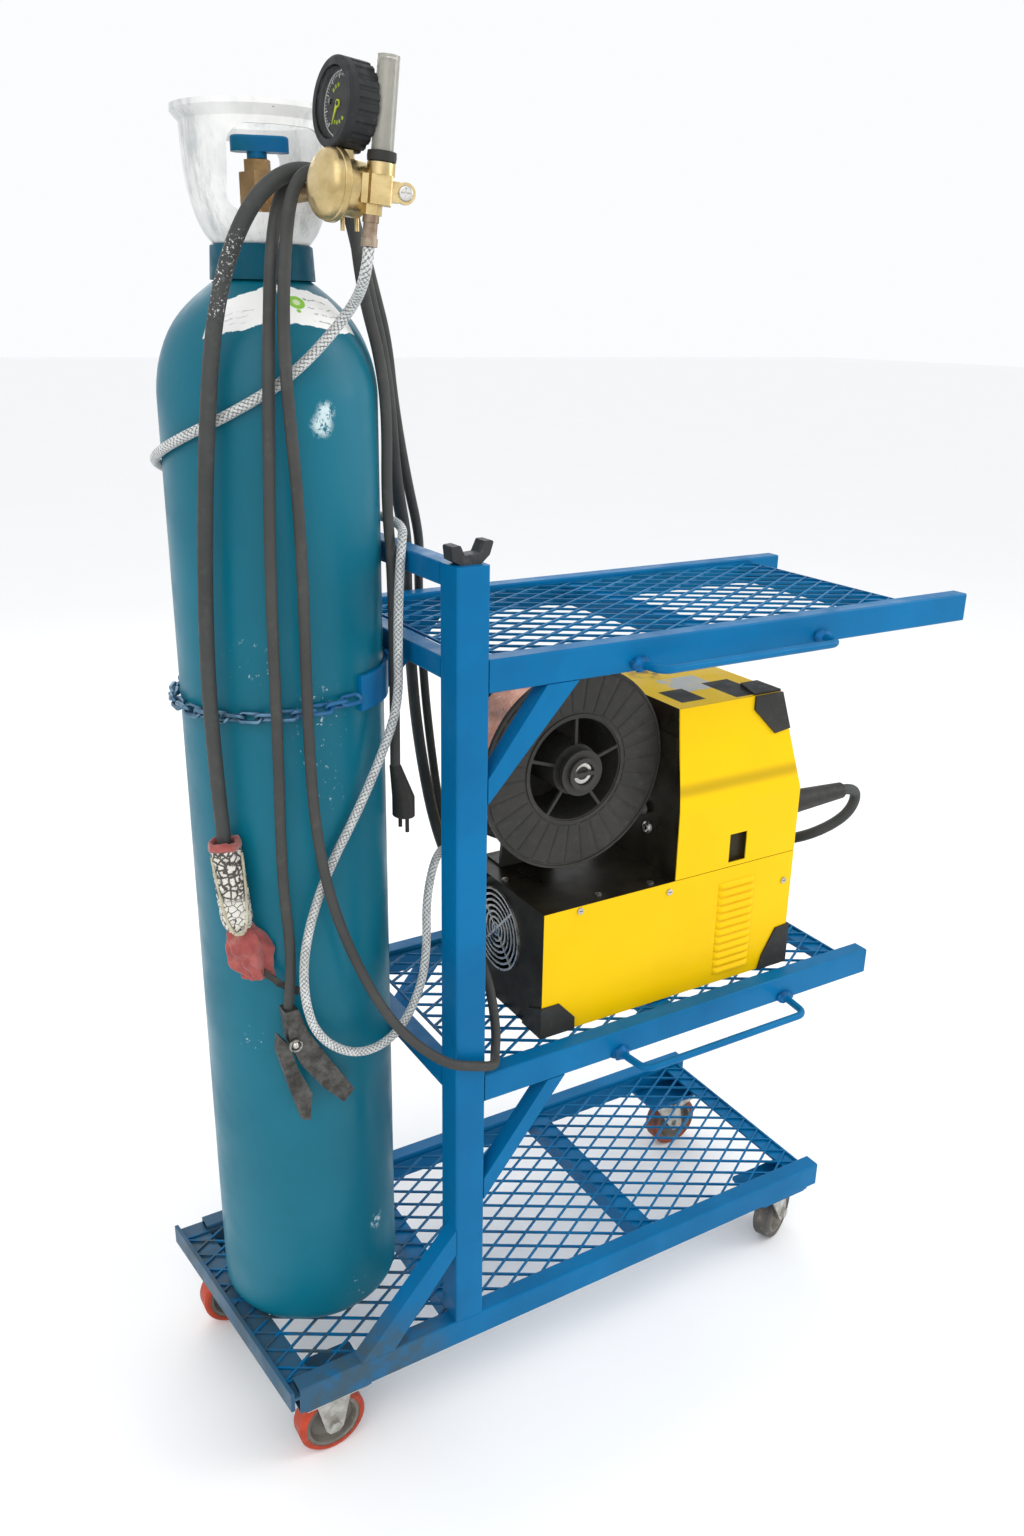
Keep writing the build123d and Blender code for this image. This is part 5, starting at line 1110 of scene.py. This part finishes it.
def soften(piece, width):
    """Rounds a piece's edges slightly."""
    bevel = piece.modifiers.new("edges", "BEVEL")
    bevel.width = width
    bevel.segments = 2
    bevel.limit_method = "ANGLE"
    bevel.harden_normals = True


LOUVRES, LOUVRE_LOW, LOUVRE_STEP = 12, 0.530, 0.012
HOOD_X, HOOD_LENGTH, HOOD_HEIGHT, HOOD_DEPTH = 0.1665, 0.066, 0.0096, 0.0036
HOOD_RISE = 0.0066  # from a slot's middle to its hood's upper edge


def louvres():
    """Pressed hoods over the cooling slots."""
    columns, rows = 28, 9
    vertices, faces = [], []
    for slat in range(LOUVRES):
        top = LOUVRE_LOW + slat * LOUVRE_STEP + HOOD_RISE
        start = len(vertices)
        for i in range(rows + 1):
            v = i / rows
            swell = math.sin(math.pi * 0.5 * min(1.0, v / 0.75)) if v < 0.85 else (1.0 - v) / 0.15
            for j in range(columns + 1):
                u = j / columns
                ends = min(1.0, min(u, 1.0 - u) / 0.09)
                ends = ends * ends * (3 - 2 * ends)
                y = W_NEAR - 0.0002 - HOOD_DEPTH * swell * ends
                vertices.append((HOOD_X + HOOD_LENGTH * u, y, top - HOOD_HEIGHT * v))
        faces.extend(sheet_faces(rows, columns, start, True))
    return thicken(add_mesh("louvre_hoods", vertices, faces, "louvre"), 0.0008)


fitted(louvres(), "cart")

guide_tip = lathe(
    "guide_tip", (W_WALL - 0.0002, -0.0424, 0.744), (-1, 0, 0),
    ((0.0030, 0.0), (0.0030, 0.0045), (0.0058, 0.0052), (0.0084, 0.0030), (0.0090, 0.0)), "steel",
)
fitted(guide_tip, "cart")

web = lathe(
    "spool_web", (SPOOL_X, SPOOL_FAR - 0.006, SPOOL_Z), (0, -1, 0),
    ((0.0335, 0.0), (0.0335, 0.0014), (0.0715, 0.0014), (0.0715, 0.0)), "spool", 96,
)
fitted(web, "wire_reel")
hub_cap = lathe(
    "hub_ring", (SPOOL_X, SPOOL_NEAR - 0.0157, SPOOL_Z), (0, -1, 0),
    (
        (0.0085, -0.002), (0.0085, 0.0008), (0.0100, 0.0014),
        (0.0135, 0.0014), (0.0148, 0.0006), (0.0148, -0.002),
    ), "steel", 72,
)
fitted(hub_cap, "cart")

FLOW_FOOT = Vector((-0.354, -0.1655, 1.495))
FLOW_LEAN, FLOW_TURN = math.radians(5.5), math.radians(-23.6)
flow_across = Vector((math.cos(FLOW_TURN), math.sin(FLOW_TURN), 0))
flow_up = flow_across * math.sin(FLOW_LEAN) + Vector((0, 0, math.cos(FLOW_LEAN)))
tube_axis_foot = FLOW_FOOT + flow_across * 0.002
tube_band = lathe(
    "tube_band", tube_axis_foot + flow_up * 0.0225, flow_up,
    ((0.0102, 0.0), (0.0128, 0.0004), (0.0132, 0.0045), (0.0128, 0.0086), (0.0102, 0.0090)), "plastic",
)
fitted(tube_band, "cart")

CLAMP_PIVOT = Vector((-0.444, -0.0905, 0.597))
pin_head = lathe(
    "clamp_pin", CLAMP_PIVOT, (0, -1, 0),
    ((0.0003, 0.0), (0.0003, 0.0042), (0.0026, 0.0038), (0.0044, 0.0020), (0.0046, 0.0)), "steel", 40,
)
fitted(pin_head, "cart")
COIL_R, COIL_TURN, COIL_RISE = 0.0072, 0.35, 0.00006
coil_line = []
for k in range(50):
    across, up = math.cos(COIL_TURN * k) * COIL_R, math.sin(COIL_TURN * k) * COIL_R
    coil_line.append(CLAMP_PIVOT + Vector((across, -0.0008 - COIL_RISE * k, up)))
spring = wrap_edge("clamp_spring", coil_line, 0.0009, "galvanised", 0.00005)
fitted(spring, "cart")


# ------------------------------------------------------------------ floor and light
def add_floor():
    """Pale plain floor, far larger than the cart."""
    size = 40.0
    corners = [(-size, -size, 0), (size, -size, 0), (size, size, 0), (-size, size, 0)]
    floor_finish = Finish("pale_floor", 0.85)
    tone = floor_finish.noise(1.6, 3)
    floor_finish.colour(floor_finish.mix(tone, (0.93, 0.93, 0.925), (0.95, 0.95, 0.945)))
    finishes["floor"] = floor_finish.material
    floor = add_mesh("floor", corners, [(0, 1, 2, 3)], "floor", False)


def add_softbox(name, place, target, size, power):
    """A large square lamp aimed at a point."""
    data = bpy.data.lights.new(name, "AREA")
    data.shape = "RECTANGLE"
    data.size, data.size_y = size
    data.energy = power
    lamp = bpy.data.objects.new(name, data)
    lamp.location = place
    lamp.rotation_mode = "QUATERNION"
    lamp.rotation_quaternion = (Vector(target) - Vector(place)).to_track_quat("-Z", "Y")
    scene.collection.objects.link(lamp)


add_floor()
world = bpy.data.worlds.new("studio")
world.use_nodes = True
world.node_tree.nodes["Background"].inputs["Color"].default_value = (0.97, 0.98, 1.0, 1.0)
world.node_tree.nodes["Background"].inputs["Strength"].default_value = 1.0
scene.world = world
scene.view_settings.view_transform = "Standard"
add_softbox("key_light", (-2.4, -2.6, 3.4), (0, 0, 0.8), (3.6, 3.6), 55)
add_softbox("side_light", (2.8, -1.6, 2.4), (0, 0, 0.7), (1.8, 2.4), 45)
add_softbox("back_light", (0.5, 3.2, 2.8), (0, 0, 0.8), (2.6, 1.6), 25)
